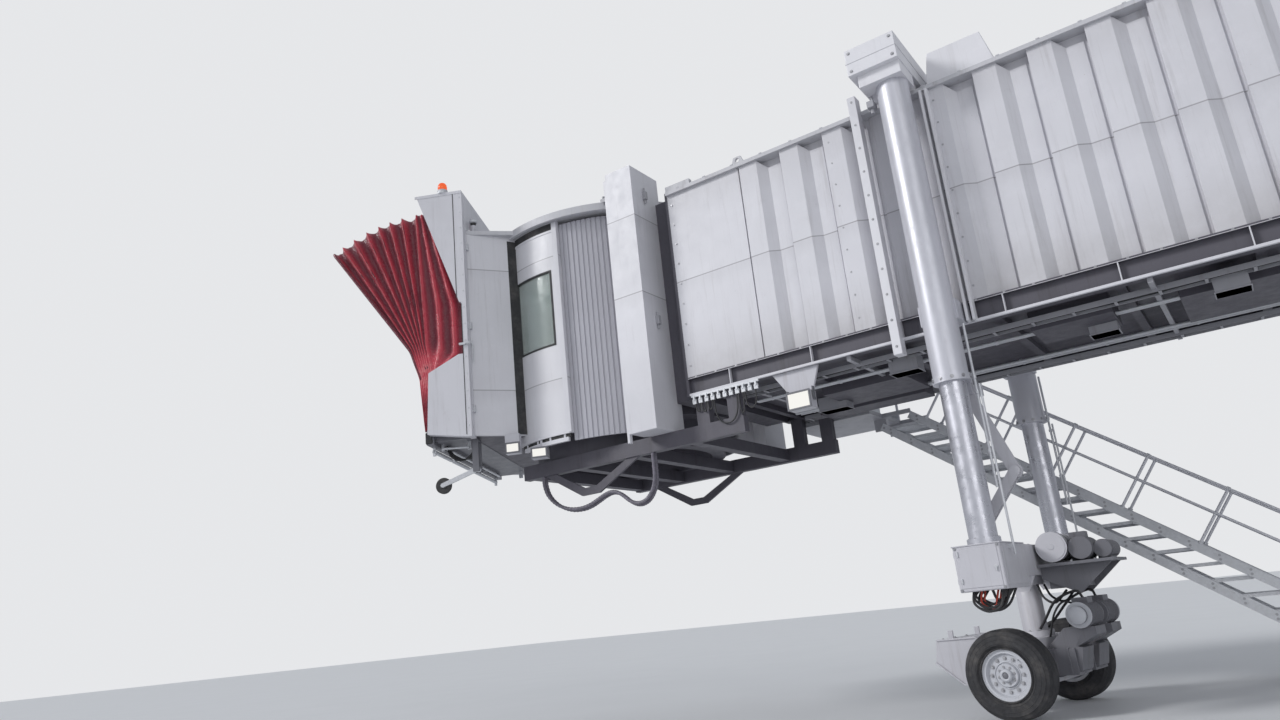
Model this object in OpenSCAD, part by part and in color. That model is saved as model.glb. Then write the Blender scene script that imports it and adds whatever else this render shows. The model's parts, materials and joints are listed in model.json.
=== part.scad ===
// Apron-drive passenger boarding bridge, full size.
// X runs from the cab (negative) to the terminal (positive), the ground is Z = 0 and the side with
// the cab's turned front is -Y. The modules are drawn with the lift columns at X = 0, and the finished
// pieces are moved so that the middle of the rotunda's base flange is the origin.

/* [Outer tunnel] */
// Width over the outer faces of the side walls
tunnel_w = 2900; // [2700:10:3000]
// Height of the lower edge of the side walls above the ground
panel_z = 4250; // [4200:10:4300]
// Height of the side walls
panel_h = 2550; // [2500:10:2600]
// Height of the bottom chords under the side walls
chord_h = 240; // [220:10:260]
// Pitch of the ribs pressed into the side walls
rib_pitch = 580; // [560:10:600]
// Depth of the ribs
rib_depth = 90; // [70:5:100]
// Thickness of the wall behind the ribs
lining_t = 60; // [55:5:65]
// Ribs between the flat cab-end panel and the columns
front_bays = 3; // [2:1:3]
// Ribs between the columns and the terminal end
rear_bays = 11; // [10:1:11]
// First rib behind the columns
rear_bay_x = 220; // [210:5:240]
// Distance from the columns to the cab end of the tunnel
cab_end = 3300; // [3280:10:3320]
// Thickness of the floor plate
floor_t = 60; // [50:5:70]
// Camber height of the roof over its edge
roof_t = 120; // [100:5:130]
// How far the roof rail stands out past the walls
eave = 40; // [20:5:50]

/* [Inner tunnel and rotunda] */
// Running gap between the two tunnels
tunnel_gap = 70; // [65:5:75]
// Length of the inner tunnel
inner_len = 7800; // [7600:50:7900]
// Distance from the columns to the slope hinge
hinge_x = 9500; // [9450:10:9550]
// Gap between the inner tunnel and the rotunda throat
throat_gap = 100; // [80:5:120]
// Outer radius of the rotunda wall
rotunda_r = 2000; // [1950:10:2050]
// Radius of the pedestal column
pedestal_r = 450; // [400:10:500]
// Radius of the pedestal's base flange
base_r = 1000; // [950:10:1050]
// Radius of the anchor bolt holes in the base flange
anchor_r = 22; // [16:1:26]

/* [Lift columns] */
// Distance between the two columns
column_gap = 3500; // [3460:10:3540]
// Outer radius of the upper, outer tubes
outer_r = 178; // [174:1:182]
// Outer radius of the lower, sliding tubes
inner_r = 137; // [133:1:141]
// Height of the open lower end of the outer tubes
outer_z0 = 3350; // [3300:10:3400]
// Height of the top of the outer tubes
outer_z1 = 6850; // [6830:10:6880]
// Height of the top of the crossbeam that carries the sliding tubes
beam_z = 1720; // [1700:5:1740]
// Height of the crossbeam
beam_h = 320; // [300:10:340]
// Width of the crossbeam
beam_w = 290; // [280:5:300]

/* [Wheels] */
// Radius of the tyres
tyre_r = 450; // [440:1:460]
// Width of the tyres
tyre_w = 300; // [280:5:310]
// Radius of the rims
rim_r = 250; // [240:1:260]
// Distance between the tyres' middle planes
track = 1760; // [1740:10:1780]
// Steering angle of the bogie as parked
steer = -8.5; // [-12:0.5:12]

/* [Cab] */
// Distance from the columns to the cab's turning axis
cab_x = 5300; // [5290:5:5310]
// Turn of the cab from the line of the tunnel
cab_turn = 28; // [24:1:30]
// Radius of the curved cab wall
cab_r = 1800; // [1790:5:1810]
// Thickness of the cab's walls
cab_wall_t = 60; // [50:5:60]
// Height of the top of the curved walls
cab_top = 6960; // [6950:5:6970]
// Height of the lower edge of the curved walls
cab_bottom = 3850; // [3840:5:3870]
// Distance from the turning axis to the front frame
front_x = 1900; // [1880:5:1920]
// Half the width over the front frame
front_y = 1800; // [1790:5:1810]
// Height of the top of the front frame
front_top = 7600; // [7580:10:7640]

/* [Service stair] */
// Height of the stair's pivot
stair_z = 3755; // [3740:5:3770]
// Slope of the stair
stair_slope = 36.4; // [36:0.1:37]
// Width between the stringers
stair_w = 660; // [640:10:680]
// Rise from one tread to the next
tread_rise = 200; // [190:5:210]
// Radius of the ground wheels
foot_r = 125; // [115:5:130]

/* [Hidden] */
$fn = 48;
fit = 0.3;
run = 0.1;

// Heights and widths that follow from the sizes above
half_w = tunnel_w / 2;
wall_t = rib_depth + lining_t;
room_w = half_w - wall_t;
chord_z = panel_z - chord_h;
roof_z = panel_z + panel_h;
floor_z = chord_z + 160;
tail_x = rear_bay_x + rear_bays * rib_pitch;
front_bay_x = -440 - front_bays * rib_pitch;
post_x = -590;
post_w = 100;

// Inner tunnel
inner_half = room_w - tunnel_gap;
inner_rib = 60;
inner_lining = 40;
inner_room = inner_half - inner_rib - inner_lining;
inner_z0 = floor_z + 60;
inner_floor_z = inner_z0 + 60;
inner_z1 = roof_z - 120;
inner_x1 = hinge_x - 40;
inner_x0 = inner_x1 - inner_len;
hinge_z = 4040;
hinge_pin_r = 45;
lug_r = 90;

// Rotunda
throat_x0 = inner_x1 + throat_gap;
rotunda_x = throat_x0 + rotunda_r + 60;
rotunda_floor_z = inner_floor_z - 10;
rotunda_floor_h = 190;
rotunda_top = 6960;
bearing_r = 1100;
pedestal_top = rotunda_floor_z - rotunda_floor_h - 100;

// Columns and wheel base
col_y = column_gap / 2;
beam_x = beam_w / 2;
king_x = -100;
king_r = 130;
king_z1 = beam_z - beam_h - 100;
frame_top = 760;
head_z = outer_z1 + 150;
wheel_y = track / 2;
axle_r = 55;
plate_t = 40;

// Scissor link pivots, in the plane between the near column and the middle
link_y = -col_y + outer_r + 72;
link_top = [60, outer_z0 - 50];
link_mid = [370, 2400];
link_low = [-100, beam_z + 100];
link_t = 40;
column_overlap = 2200;

// Cab
ring_r = 1400;
ring_z = 3800;
support_z = 3620;
cab_floor_z = floor_z;
cab_floor_h = 190;
curtain_r = cab_r - cab_wall_t - 10;
curtain_t = 30;
housing_x = [-4040, -3620];
housing_y = [-1800, -1150];
housing_z1 = 7280;
curtain_z0 = 3750;
curtain_a1 = 41;
eave_r = 1900;
arc_rear = -18;
arc_front = -52;
floor_r = curtain_r - curtain_t - 20;
side_y = 1660;
side_end = [-1380, -1360];
canopy_pivot = [-2600, 5000];
canopy_r = 2520;
canopy_y = 1500;
canopy_t = 120;
canopy_open = 34.5;
level_pivot = [-1950, 3560];
level_wheel = [-2450, 3390];
level_y = -1450;
level_r = 110;

// Stair
stair_x = -2080;
stair_y = 1980;
string_t = 40;
string_h = 110;
upper_bar = 342;
upper_start = 250;
stair_end = 6175;
rail_mid = upper_bar + 460;
rail_h = upper_bar + 787;
post_start = 505;
post_pitch = 920;
landing_z = 3960;
treads = floor((landing_z - stair_z + stair_end * sin(stair_slope)) / tread_rise) - 1;
landing_x0 = -3300;
landing_x1 = -2060;

// Basic shapes

// Block between two opposite corners
module block(a, b) {
    translate(a) cube(b - a);
}

// The same shape on both sides of the tunnel
module both_sides() {
    children();
    mirror([0, 1, 0]) children();
}

// Outline in X and Z, thick from y0 to y1
module plate_xz(y0, y1, points) {
    translate([0, y1, 0]) rotate([90, 0, 0]) linear_extrude(y1 - y0) polygon(points);
}

// Outline in Y and Z, long from x0 to x1
module bar_yz(x0, x1, points) {
    translate([x0, 0, 0]) rotate([90, 0, 90]) linear_extrude(x1 - x0) polygon(points);
}

// Round rod along Y
module rod_y(x, z, r, y0, y1) {
    translate([x, y1, z]) rotate([90, 0, 0]) cylinder(r = r, h = y1 - y0);
}

// Flat link between two points in X and Z with round ends, the second of them e across
module link_xz(p, q, w, y0, y1, e) {
    d = q - p;
    translate([p[0], y0, p[1]]) rotate([0, -atan2(d[1], d[0]), 0]) {
        translate([0, 0, -w / 2]) cube([norm(d), y1 - y0, w]);
        translate([0, y1 - y0, 0]) rotate([90, 0, 0]) cylinder(d = w, h = y1 - y0);
        translate([norm(d), y1 - y0, 0]) rotate([90, 0, 0]) cylinder(d = e, h = y1 - y0);
    }
}

// Straight square bar between two points
module strut(p, q, w) {
    d = q - p;
    translate(p) rotate([0, acos(d[2] / norm(d)), atan2(d[1], d[0])])
        translate([-w / 2, -w / 2, 0]) cube([w, w, norm(d)]);
}

// Round tube between two points
module tube(p, q, r) {
    d = q - p;
    translate(p) rotate([0, acos(d[2] / norm(d)), atan2(d[1], d[0])]) cylinder(r = r, h = norm(d), $fn = 16);
}

// Ring part between two radii and two angles, the angle counted from -Y towards +X
module ring_part(r0, r1, a0, a1, z0, z1) {
    translate([0, 0, z0]) rotate([0, 0, a0 - 90]) rotate_extrude(angle = a1 - a0, $fn = 180)
        translate([r0, 0]) square([r1 - r0, z1 - z0]);
}

// Moves a piece from the columns' frame, in which it is drawn, to the frame of the rotunda's base
module on_site() {
    translate([-rotunda_x, 0, 0]) children();
}

// Places a shape on the cab, whose own front is -X before it is turned
module on_cab() {
    translate([-cab_x, 0, 0]) rotate([0, 0, cab_turn]) children();
}

// Places a shape on the steered bogie
module on_bogie() {
    translate([king_x, 0, 0]) rotate([0, 0, steer]) children();
}

// Places a shape on the stair, whose own X runs down the slope
module on_stair() {
    translate([stair_x, 0, stair_z]) rotate([0, stair_slope, 0]) children();
}

// Ribbed walls

// Plan points of one rib on a wall whose face is at y = -w
function rib(x, w, d) = [
    [x, -w], [x + 0.43 * rib_pitch, -w], [x + 0.63 * rib_pitch, -w + d],
    [x + 0.93 * rib_pitch, -w + d], [x + 0.93 * rib_pitch, -w + d + 20],
    [x + 0.985 * rib_pitch, -w + d + 20]
];

// Joined lists of rib points
function ribs(x, n, w, d) = [for (i = [0 : n - 1]) each rib(x + i * rib_pitch, w, d)];

// Dark slots under the roof at the head of each hollow
module rib_heads(x, n) {
    for (i = [0 : n - 1]) {
        x0 = x + i * rib_pitch;
        plate_xz(-half_w - 1, -half_w + rib_depth + 0.6 * lining_t, [
            [x0 + 0.43 * rib_pitch, roof_z + 1], [x0 + 0.63 * rib_pitch, roof_z - 110],
            [x0 + 0.985 * rib_pitch, roof_z - 110], [x0 + 0.985 * rib_pitch, roof_z + 1]]);
    }
}

// Side wall of the outer tunnel on the -Y side
module outer_wall() {
    rear_ribs = ribs(rear_bay_x, rear_bays, half_w, rib_depth);
    front_ribs = ribs(front_bay_x, front_bays, half_w, rib_depth);
    difference() {
        translate([0, 0, panel_z]) linear_extrude(panel_h) polygon(concat(
            [[-cab_end, -half_w + 8], [front_bay_x - 20, -half_w + 8], [front_bay_x - 20, -half_w + rib_depth]],
            [[front_bay_x, -half_w + rib_depth]],
            front_ribs,
            [[-440, -half_w + rib_depth], [rear_bay_x, -half_w + rib_depth]],
            rear_ribs,
            [[tail_x, -half_w + rib_depth + 20], [tail_x, -room_w], [-cab_end, -room_w]]));
        rib_heads(rear_bay_x, rear_bays);
        rib_heads(front_bay_x, front_bays);
    }
}

door_x = [-3150, -2300];
door_z1 = floor_z + 2080;
handle_z = 900;
handle_h = 160;

// Doorway to the landing
module doorway(y0, y1) {
    block([door_x[0], y0, panel_z], [door_x[1], y1, door_z1]);
}

module near_wall() {
    color("lightgrey") outer_wall();
}

module far_wall() {
    color("lightgrey") difference() {
        mirror([0, 1, 0]) outer_wall();
        doorway(room_w - 10, half_w + 10);
    }
}

module service_door() {
    color("silver") {
        doorway(room_w, room_w + 60);
        block([door_x[1] - 130, room_w + 60, panel_z + handle_z],
              [door_x[1] - 90, room_w + 110, panel_z + handle_z + handle_h]);
    }
}

// Roof with a rail along each edge, a box at the cab end and four lifting eyes
module outer_roof() {
    e = half_w + eave;
    color("gainsboro") {
        difference() {
            bar_yz(-cab_end, tail_x, [
                [-e, roof_z], [e, roof_z], [e, roof_z + 50], [half_w - 50, roof_z + 50],
                [half_w - 70, roof_z + 80], [0, roof_z + roof_t], [-half_w + 70, roof_z + 80],
                [-half_w + 50, roof_z + 50], [-e, roof_z + 50]]);
            both_sides() block([post_x, -e - 1, roof_z - 1], [post_x + post_w, -half_w, roof_z + 51]);
        }
        both_sides() {
            block([-cab_end, -half_w - 20, roof_z + 50], [-cab_end + 380, -half_w + 50, roof_z + 130]);
            for (x = [front_bay_x, tail_x - 1200]) lifting_eye(x);
        }
    }
}

module lifting_eye(x) {
    difference() {
        plate_xz(-half_w - 15, -half_w + 15, [
            [x - 90, roof_z + 50], [x + 90, roof_z + 50], [x + 50, roof_z + 150], [x - 50, roof_z + 150]]);
        rod_y(x, roof_z + 100, 28, -half_w - 16, -half_w + 16);
    }
}

// Equipment trays under the floor, each by its two corners and its drop below the chords
trays = [
    [700, -900, 1500, -200, 110], [2100, -700, 3000, 500, 90],
    [-2000, -300, -900, 600, 120], [-2500, 700, -1000, 1100, 140]
];

// Floor plate with cross ribs and trays under it
module outer_floor() {
    web = half_w - 80;
    color("dimgrey") {
        block([-cab_end, -web, floor_z - floor_t], [tail_x, web, floor_z]);
        for (i = [0 : 8]) {
            x = -cab_end + 200 + i * (tail_x + cab_end - 400) / 8;
            block([x - 45, -web, chord_z + 20], [x + 45, web, floor_z - floor_t]);
        }
        for (b = trays) block([b[0], b[1], chord_z - b[4]], [b[2], b[3], floor_z - floor_t]);
    }
}

// Channel under each side wall, open to the outside
module bottom_chords() {
    w = half_w;
    color("dimgrey") both_sides() bar_yz(-cab_end, tail_x, [
        [-w, chord_z], [-room_w, chord_z], [-room_w, chord_z + 20], [-w + 80, chord_z + 20],
        [-w + 80, panel_z - 20], [-room_w, panel_z - 20], [-room_w, panel_z], [-w, panel_z],
        [-w, panel_z - 20], [-w + 60, panel_z - 20], [-w + 60, chord_z + 20], [-w, chord_z + 20]]);
}

// Frame that closes the cab end of the tunnel round a passage
passage_y = 1150;
passage_z = 6400;
module end_frame() {
    x0 = housing_x[1];
    color("dimgrey") difference() {
        union() {
            block([-cab_end - 40, -half_w + 8, chord_z], [-cab_end, half_w - 8, roof_z + 60]);
            block([x0, -passage_y - 100, chord_z], [-cab_end, passage_y + 100, roof_z + 60]);
        }
        block([x0 - 1, -passage_y, floor_z], [-cab_end + 1, passage_y, passage_z]);
        translate([-cab_x, 0, chord_z - 1]) cylinder(r = floor_r + 30, h = 4000, $fn = 180);
    }
}

// White posts beside the columns and the guide rails behind them
module portal_posts() {
    color("white") both_sides() {
        block([post_x, -half_w - 150, chord_z - 180], [post_x + post_w, -half_w, roof_z + 220]);
        for (x = [235, 300])
            block([x - 15, -half_w - 110, chord_z], [x + 15, -half_w, roof_z - 20]);
    }
}

// Beam over the roof on the heads of both columns
module header_beam() {
    color("gainsboro") {
        block([-380, -col_y - 300, head_z], [200, col_y + 300, head_z + 330]);
        both_sides() block([-300, -col_y - 230, outer_z1], [190, -col_y + 215, head_z]);
        both_sides() block([-200, -half_w + 60, roof_z + 83], [150, -half_w + 160, head_z]);
        roof_box();
    }
}

// Box with sloping ends on the roof behind the header
module roof_box() {
    z0 = roof_z + 50;
    difference() {
        plate_xz(-half_w + 50, -half_w + 750, [
            [280, z0], [1060, z0], [960, z0 + 430], [360, z0 + 430]]);
        bar_yz(200, 1100, [
            [-half_w, roof_z], [-half_w + 50, roof_z + 50], [-half_w + 70, roof_z + 80],
            [0, roof_z + roof_t], [0, roof_z]]);
    }
}

// Outer tube of a lift column with its head plate, guide ring and tunnel bracket
module column_outer(side) {
    color("silver") mirror([0, side > 0 ? 1 : 0, 0]) {
        translate([0, -col_y, 0]) difference() {
            union() {
                translate([0, 0, outer_z0]) cylinder(r = outer_r, h = outer_z1 - outer_z0);
                translate([0, 0, outer_z0]) cylinder(r = outer_r + 12, h = 70);
            }
            translate([0, 0, outer_z0 - 1]) cylinder(r = inner_r + fit, h = 402);
            translate([0, 0, outer_z0 + 400]) cylinder(r = outer_r - 22, h = outer_z1 - outer_z0 - 420);
        }
        difference() {
            block([-200, -col_y, chord_z], [200, -half_w, panel_z - 20]);
            translate([0, -col_y, chord_z - 1]) cylinder(r = outer_r - 5, h = chord_h + 2);
        }
    }
}

// Bracket of the upper link on the inner side of the near outer tube
module link_bracket() {
    x0 = link_top[0] - 70;
    x1 = link_top[0] + 70;
    ear = link_t / 2 + 6;
    color("silver") {
        difference() {
            block([x0, link_y - 120, outer_z0 + 20], [x1, link_y + ear + 20, outer_z0 + 90]);
            translate([0, -col_y, outer_z0 - 1]) cylinder(r = outer_r - 5, h = 92);
        }
        for (y = [link_y - ear - 20, link_y + ear]) block([x0, y, link_top[1] - 60], [x1, y + 20, outer_z0 + 21]);
        rod_y(link_top[0], link_top[1], 18 - run, link_y - ear - 20, link_y + ear + 20);
    }
}

module outer_columns() {
    column_outer(-1);
    column_outer(1);
    link_bracket();
}

// Landing outside the service door, hung from the far chord
module landing() {
    y1 = stair_y + string_t + stair_w + string_t + 60;
    lug_y = stair_y + string_t + fit;
    arm_z = landing_z - 60;
    color("darkgrey") {
        block([landing_x0, room_w + 125, landing_z - 60], [landing_x1, y1, landing_z]);
        for (x = [landing_x0, (landing_x0 + landing_x1) / 2 - 30, landing_x1 - 60])
            block([x, room_w + 125, landing_z], [x + 60, half_w, chord_z]);
        block([door_x[0], half_w, landing_z], [door_x[1], half_w + 300, landing_z + 200]);
        block([stair_x - 150, lug_y, stair_z - 30], [stair_x + 30, lug_y + 30, landing_z - 60]);
        block([stair_x - 150, lug_y + stair_w - 30 - 2 * fit, stair_z - 30],
              [stair_x + 30, lug_y + stair_w - 2 * fit, landing_z - 60]);
        rod_y(stair_x, stair_z, 18, stair_y, lug_y + 5);
        rod_y(stair_x, stair_z, 18, lug_y + stair_w - 5, lug_y + stair_w + string_t - fit);
        for (y = [stair_y - 45, y1 - 50])
            block([landing_x1 - 60, y, arm_z], [landing_x1 + 420, y + 40, landing_z]);
    }
}

// Guard rail round the landing
module landing_rail() {
    y = stair_y + string_t + stair_w + string_t + 30;
    z1 = landing_z + 1050;
    x0 = landing_x0 + 30;
    x1 = landing_x1 - 30;
    color("silver") {
        for (x = [x0, (x0 + x1) / 2, x1]) tube([x, y, landing_z], [x, y, z1], 20);
        tube([x0, half_w + 60, landing_z], [x0, half_w + 60, z1], 20);
        for (z = [landing_z + 550, z1 - 12]) {
            tube([x0 - 20, y, z], [x1 + 20, y, z], 16);
            tube([x0, half_w + 45, z], [x0, y + 10, z], 16);
        }
    }
}

// Beams under the cab with the fixed half of the turntable
module cab_support() {
    y0 = room_w;
    y1 = room_w + 120;
    color("dimgrey") {
        both_sides() {
            block([-6200, -y1, support_z - 200], [-2600, -y0, support_z]);
            for (x = [-3250, -2800]) block([x, -y1, support_z], [x + 180, -y0, chord_z]);
            plate_xz(-y1 + 20, -y1 + 60, [
                [-5820, support_z - 200], [-5630, support_z - 200], [-5150, support_z - 470],
                [-4950, support_z - 470], [-4400, support_z - 200], [-4200, support_z - 200],
                [-4900, support_z - 570], [-5200, support_z - 570]]);
        }
        for (x = [-6200, -5380, -4460, -3500])
            block([x, -y0, support_z - 180], [x + 150, y0, support_z - 20]);
        translate([-cab_x, 0, support_z - 20]) difference() {
            cylinder(r = ring_r, h = ring_z - support_z + 20, $fn = 180);
            translate([0, 0, -1]) cylinder(r = ring_r - 200, h = 300, $fn = 180);
        }
    }
}

// Tall boxes on the tunnel end that hold the rolled curtains
module curtain_housings() {
    color("lightgrey") both_sides() {
        difference() {
            block([housing_x[0], housing_y[0], support_z], [housing_x[1], housing_y[1], housing_z1]);
            translate([-cab_x, 0, support_z - 1]) cylinder(r = eave_r + 50, h = housing_z1, $fn = 180);
        }
        block([housing_x[0] - 40, housing_y[0], support_z - 110],
              [housing_x[0], housing_y[0] + 60, housing_z1 - 80]);
    }
    color("dimgrey") both_sides() translate([-cab_x, 0, 0]) difference() {
        ring_part(curtain_r - curtain_t, eave_r + 120, curtain_a1, curtain_a1 + 3, curtain_z0, cab_top - 60);
        difference() {
            ring_part(eave_r + 49, eave_r + 300, curtain_a1 - 1, curtain_a1 + 4, support_z, cab_top);
            cylinder(r = eave_r + 50, h = cab_top, $fn = 180);
        }
    }
}

// Plan points of a slatted curtain between two angles
slat_step = 2.4;
function slat_points(a0, a1) = concat(
    [for (i = [0 : floor((a1 - a0) / slat_step) - 1]) each
        [for (k = [[0.02, 0], [0.72, 0], [0.78, 14], [0.96, 14]])
            let (a = a0 + (i + k[0]) * slat_step - 90, r = curtain_r - k[1]) [r * cos(a), r * sin(a)]]],
    [for (i = [floor((a1 - a0) / slat_step) : -1 : 0])
        let (a = a0 + i * slat_step - 90, r = curtain_r - curtain_t) [r * cos(a), r * sin(a)]]);

// Curtains of upright slats between the housings and the curved walls
module slat_curtains() {
    near_n = ceil((curtain_a1 - arc_rear - cab_turn) / slat_step) * slat_step;
    far_n = ceil((curtain_a1 - arc_rear + cab_turn) / slat_step) * slat_step;
    color("lightgrey") translate([-cab_x, 0, curtain_z0]) {
        linear_extrude(cab_top - 60 - curtain_z0) polygon(slat_points(curtain_a1 - near_n, curtain_a1));
        mirror([0, 1, 0])
            linear_extrude(cab_top - 60 - curtain_z0) polygon(slat_points(curtain_a1 - far_n, curtain_a1));
    }
}

// Floodlight on a bracket under the near chord
module tunnel_floodlight() {
    color("silver") {
        plate_xz(-half_w + 40, -half_w + 80, [
            [-2150, chord_z], [-1550, chord_z], [-1660, chord_z - 290], [-1960, chord_z - 290]]);
        block([-1960, -half_w - 60, chord_z - 500], [-1660, -half_w + 110, chord_z - 290]);
    }
}

// Hanging loops

// Tube swept along points in a plane of constant y, with the ring turned to follow the path
function path_tangent(p, i) =
    let (a = p[max(i - 1, 0)], b = p[min(i + 1, len(p) - 1)], d = b - a) d / norm(d);

module swept_tube(p, r, sides = 8) {
    n = len(p);
    verts = [for (i = [0 : n - 1])
        let (t = path_tangent(p, i), u = [0, 1, 0], v = cross(t, u) / norm(cross(t, u)), w = cross(v, t))
        for (k = [0 : sides - 1]) p[i] + r * (cos(360 * k / sides) * w + sin(360 * k / sides) * v)];
    faces = concat(
        [[for (k = [sides - 1 : -1 : 0]) k]],
        [for (i = [0 : n - 2]) for (k = [0 : sides - 1])
            [i * sides + k, i * sides + (k + 1) % sides, (i + 1) * sides + (k + 1) % sides, (i + 1) * sides + k]],
        [[for (k = [0 : sides - 1]) (n - 1) * sides + k]]);
    polyhedron(points = verts, faces = faces, convexity = 6);
}

// Cable trolleys on a rail under the near chord at the cab end
hangers = 11;
hanger_x = -3240;
hanger_pitch = 88;
hanger_y = -half_w + 5;
hanger_z = chord_z - 120;
module cable_hangers() {
    x1 = hanger_x + (hangers - 1) * hanger_pitch;
    color("silver") {
        block([hanger_x - 40, hanger_y - 12, chord_z - 30], [x1 + 40, hanger_y + 12, chord_z]);
        for (i = [0 : hangers - 1]) {
            x = hanger_x + i * hanger_pitch;
            block([x - 12, hanger_y - 22, chord_z - 75], [x + 12, hanger_y + 22, chord_z - 20]);
            block([x - 26, hanger_y - 14, hanger_z], [x + 26, hanger_y + 14, chord_z - 60]);
        }
    }
}

// Points of one loop that leaves and meets its clamps upright
function droop(xa, xb, drop) = [for (i = [0 : 18]) let (t = i / 18)
    [xa + (xb - xa) * (t - sin(360 * t) / (2 * PI)), hanger_y, hanger_z - drop * sin(180 * t)]];

// Cables between the trolleys, each loop from one clamp to another with its own drop
cable_r = 9;
loops = [[0, 1, 100], [1, 2, 120], [2, 3, 110], [3, 7, 330], [7, 8, 250], [8, 10, 210]];
module festoon() {
    color("black") for (l = loops)
        swept_tube(droop(hanger_x + l[0] * hanger_pitch + 14, hanger_x + l[1] * hanger_pitch - 14, l[2]), cable_r);
}

// Two hoses that hang side by side in two bays under the cab, by X and Z along the bays
hose_y = [-1390, -1335];
hose_r = 22;
hose_top = support_z - 200;
hose_route = [
    [-5862, hose_top], [-5862, 3300], [-5810, 3160], [-5700, 3040], [-5560, 2955], [-5400, 2905],
    [-5230, 2893], [-5080, 2915], [-4950, 2960], [-4830, 3005], [-4715, 3028], [-4610, 3005],
    [-4520, 2945], [-4430, 2870], [-4340, 2825], [-4250, 2815], [-4160, 2842], [-4085, 2905],
    [-4030, 2995], [-4000, 3110], [-3995, 3250], [-3995, hose_top]
];
module cab_hose() {
    color("dimgrey") for (i = [0, 1])
        swept_tube([for (p = hose_route) [p[0], hose_y[i], hose_top - (hose_top - p[1]) * (1 + 0.03 * i)]], hose_r);
}

// Sliding half of the lift and the wheel base

module inner_columns() {
    color("silver") both_sides() translate([0, -col_y, beam_z]) {
        cylinder(r = inner_r, h = outer_z0 + column_overlap - beam_z);
        cylinder(r = inner_r + 22, h = 60);
    }
}

// Beam between the columns with the socket of the kingpin and the lower link lugs
module crossbeam() {
    z0 = beam_z - beam_h;
    color("darkgrey") {
        block([-beam_x, -col_y - 180, z0], [beam_x, col_y + 180, beam_z]);
        translate([king_x, 0, king_z1]) cylinder(r = 190, h = z0 - king_z1);
        block([king_x - 60, -200, z0], [-beam_x + 1, 200, z0 + 120]);
        for (s = [-1, 1]) plate_xz(s * 600 - 15, s * 600 + 15, [
            [-beam_x, z0], [beam_x, z0], [60, z0 - 160], [-60, z0 - 160]]);
        plate_xz(link_y - 14, link_y + 14, [
            [link_low[0] - 40, beam_z], [link_low[0] + 70, beam_z], [link_low[0] + 45, link_low[1] + 20],
            [link_low[0] + 20, link_low[1] + 45], [link_low[0] - 20, link_low[1] + 45],
            [link_low[0] - 40, link_low[1] + 20]]);
        rod_y(link_low[0], link_low[1], 18 - run, link_y - 60, link_y + 60);
    }
}

// Control cabinet that wraps the near end of the beam
module cabinet() {
    color("lightgrey") difference() {
        block([-260, -col_y - 220, beam_z - beam_h - 110], [beam_x + 45, -col_y + 700, beam_z]);
        block([-beam_x, -col_y - 180, beam_z - beam_h], [beam_x, -col_y + 701, beam_z + 1]);
    }
}

// Row of pumps and motors on a shelf behind the beam
module pump_set() {
    z = beam_z - 30;
    shelf = z - 190;
    color("grey") {
        block([beam_x, -450, shelf - 30], [900, 450, shelf]);
        rod_y(330, z - 20, 150, -430, 180);
        rod_y(330, z - 20, 110, 180, 420);
        rod_y(600, z - 60, 110, -380, 120);
        rod_y(600, z - 60, 80, 120, 360);
        rod_y(800, z - 90, 85, -300, 260);
        for (x = [330, 600, 800]) block([x - 50, -250, shelf], [x + 50, 150, shelf + 110]);
        plate_xz(-300, -270, [[beam_x, shelf - 30], [860, shelf - 30], [500, shelf - 330], [beam_x, shelf - 150]]);
        plate_xz(270, 300, [[beam_x, shelf - 30], [860, shelf - 30], [500, shelf - 330], [beam_x, shelf - 150]]);
        block([200, -260, shelf - 260], [560, 260, shelf - 30]);
    }
}

// Folding link between the outer tube and the beam
module scissor_upper() {
    color("lightgrey") difference() {
        link_xz(link_top, link_mid, 116, link_y - link_t / 2, link_y + link_t / 2, 140);
        rod_y(link_top[0], link_top[1], 18, link_y - link_t, link_y + link_t);
    }
}

module scissor_lower() {
    side = link_t / 2 + 6;
    color("lightgrey") difference() {
        union() {
            for (y = [link_y - side - 25, link_y + side])
                link_xz(link_mid, link_low, 104, y, y + 25, 104);
            rod_y((link_mid[0] + link_low[0]) / 2, (link_mid[1] + link_low[1]) / 2, 30,
                link_y - side - 1, link_y + side + 1);
        }
        rod_y(link_low[0], link_low[1], 18, link_y - 3 * link_t, link_y + 3 * link_t);
    }
}

// Steered bogie
module bogie_frame() {
    half = wheel_y - tyre_w / 2 - 150;
    color("darkgrey") on_bogie() {
        cylinder_at(king_r, frame_top, king_z1 - fit);
        cylinder_at(king_r + 60, frame_top, frame_top + 60);
        block([-220, -half, 300], [220, half, frame_top]);
        for (s = [-1, 1]) rod_y(0, tyre_r, axle_r - run,
            s > 0 ? half : -wheel_y - tyre_w / 2 + 20, s > 0 ? wheel_y + tyre_w / 2 - 20 : -half);
        plate_xz(-half + 60, half - 60, [
            [-220, 700], [-480, 820], [-930, 810], [-980, 570], [-680, 330], [-220, 330]]);
    }
}

module cylinder_at(r, z0, z1) {
    translate([0, 0, z0]) cylinder(r = r, h = z1 - z0);
}

// Two geared motors behind the bogie
module drive_units() {
    color("grey") on_bogie() {
        for (s = [-1, 1]) {
            y0 = s > 0 ? 60 : -440;
            block([220, y0, 380], [520, y0 + 380, 640]);
            plate_xz(y0 + 40, y0 + 340, [[220, 640], [520, 640], [760, 760], [760, 840], [440, 840]]);
            rod_y(640, 960, 125, y0, y0 + 380);
            rod_y(640, 960, 90, s > 0 ? y0 + 380 : y0 - 60, s > 0 ? y0 + 440 : y0);
        }
        rod_y(360, 510, 70, -60, 60);
    }
}

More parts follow.
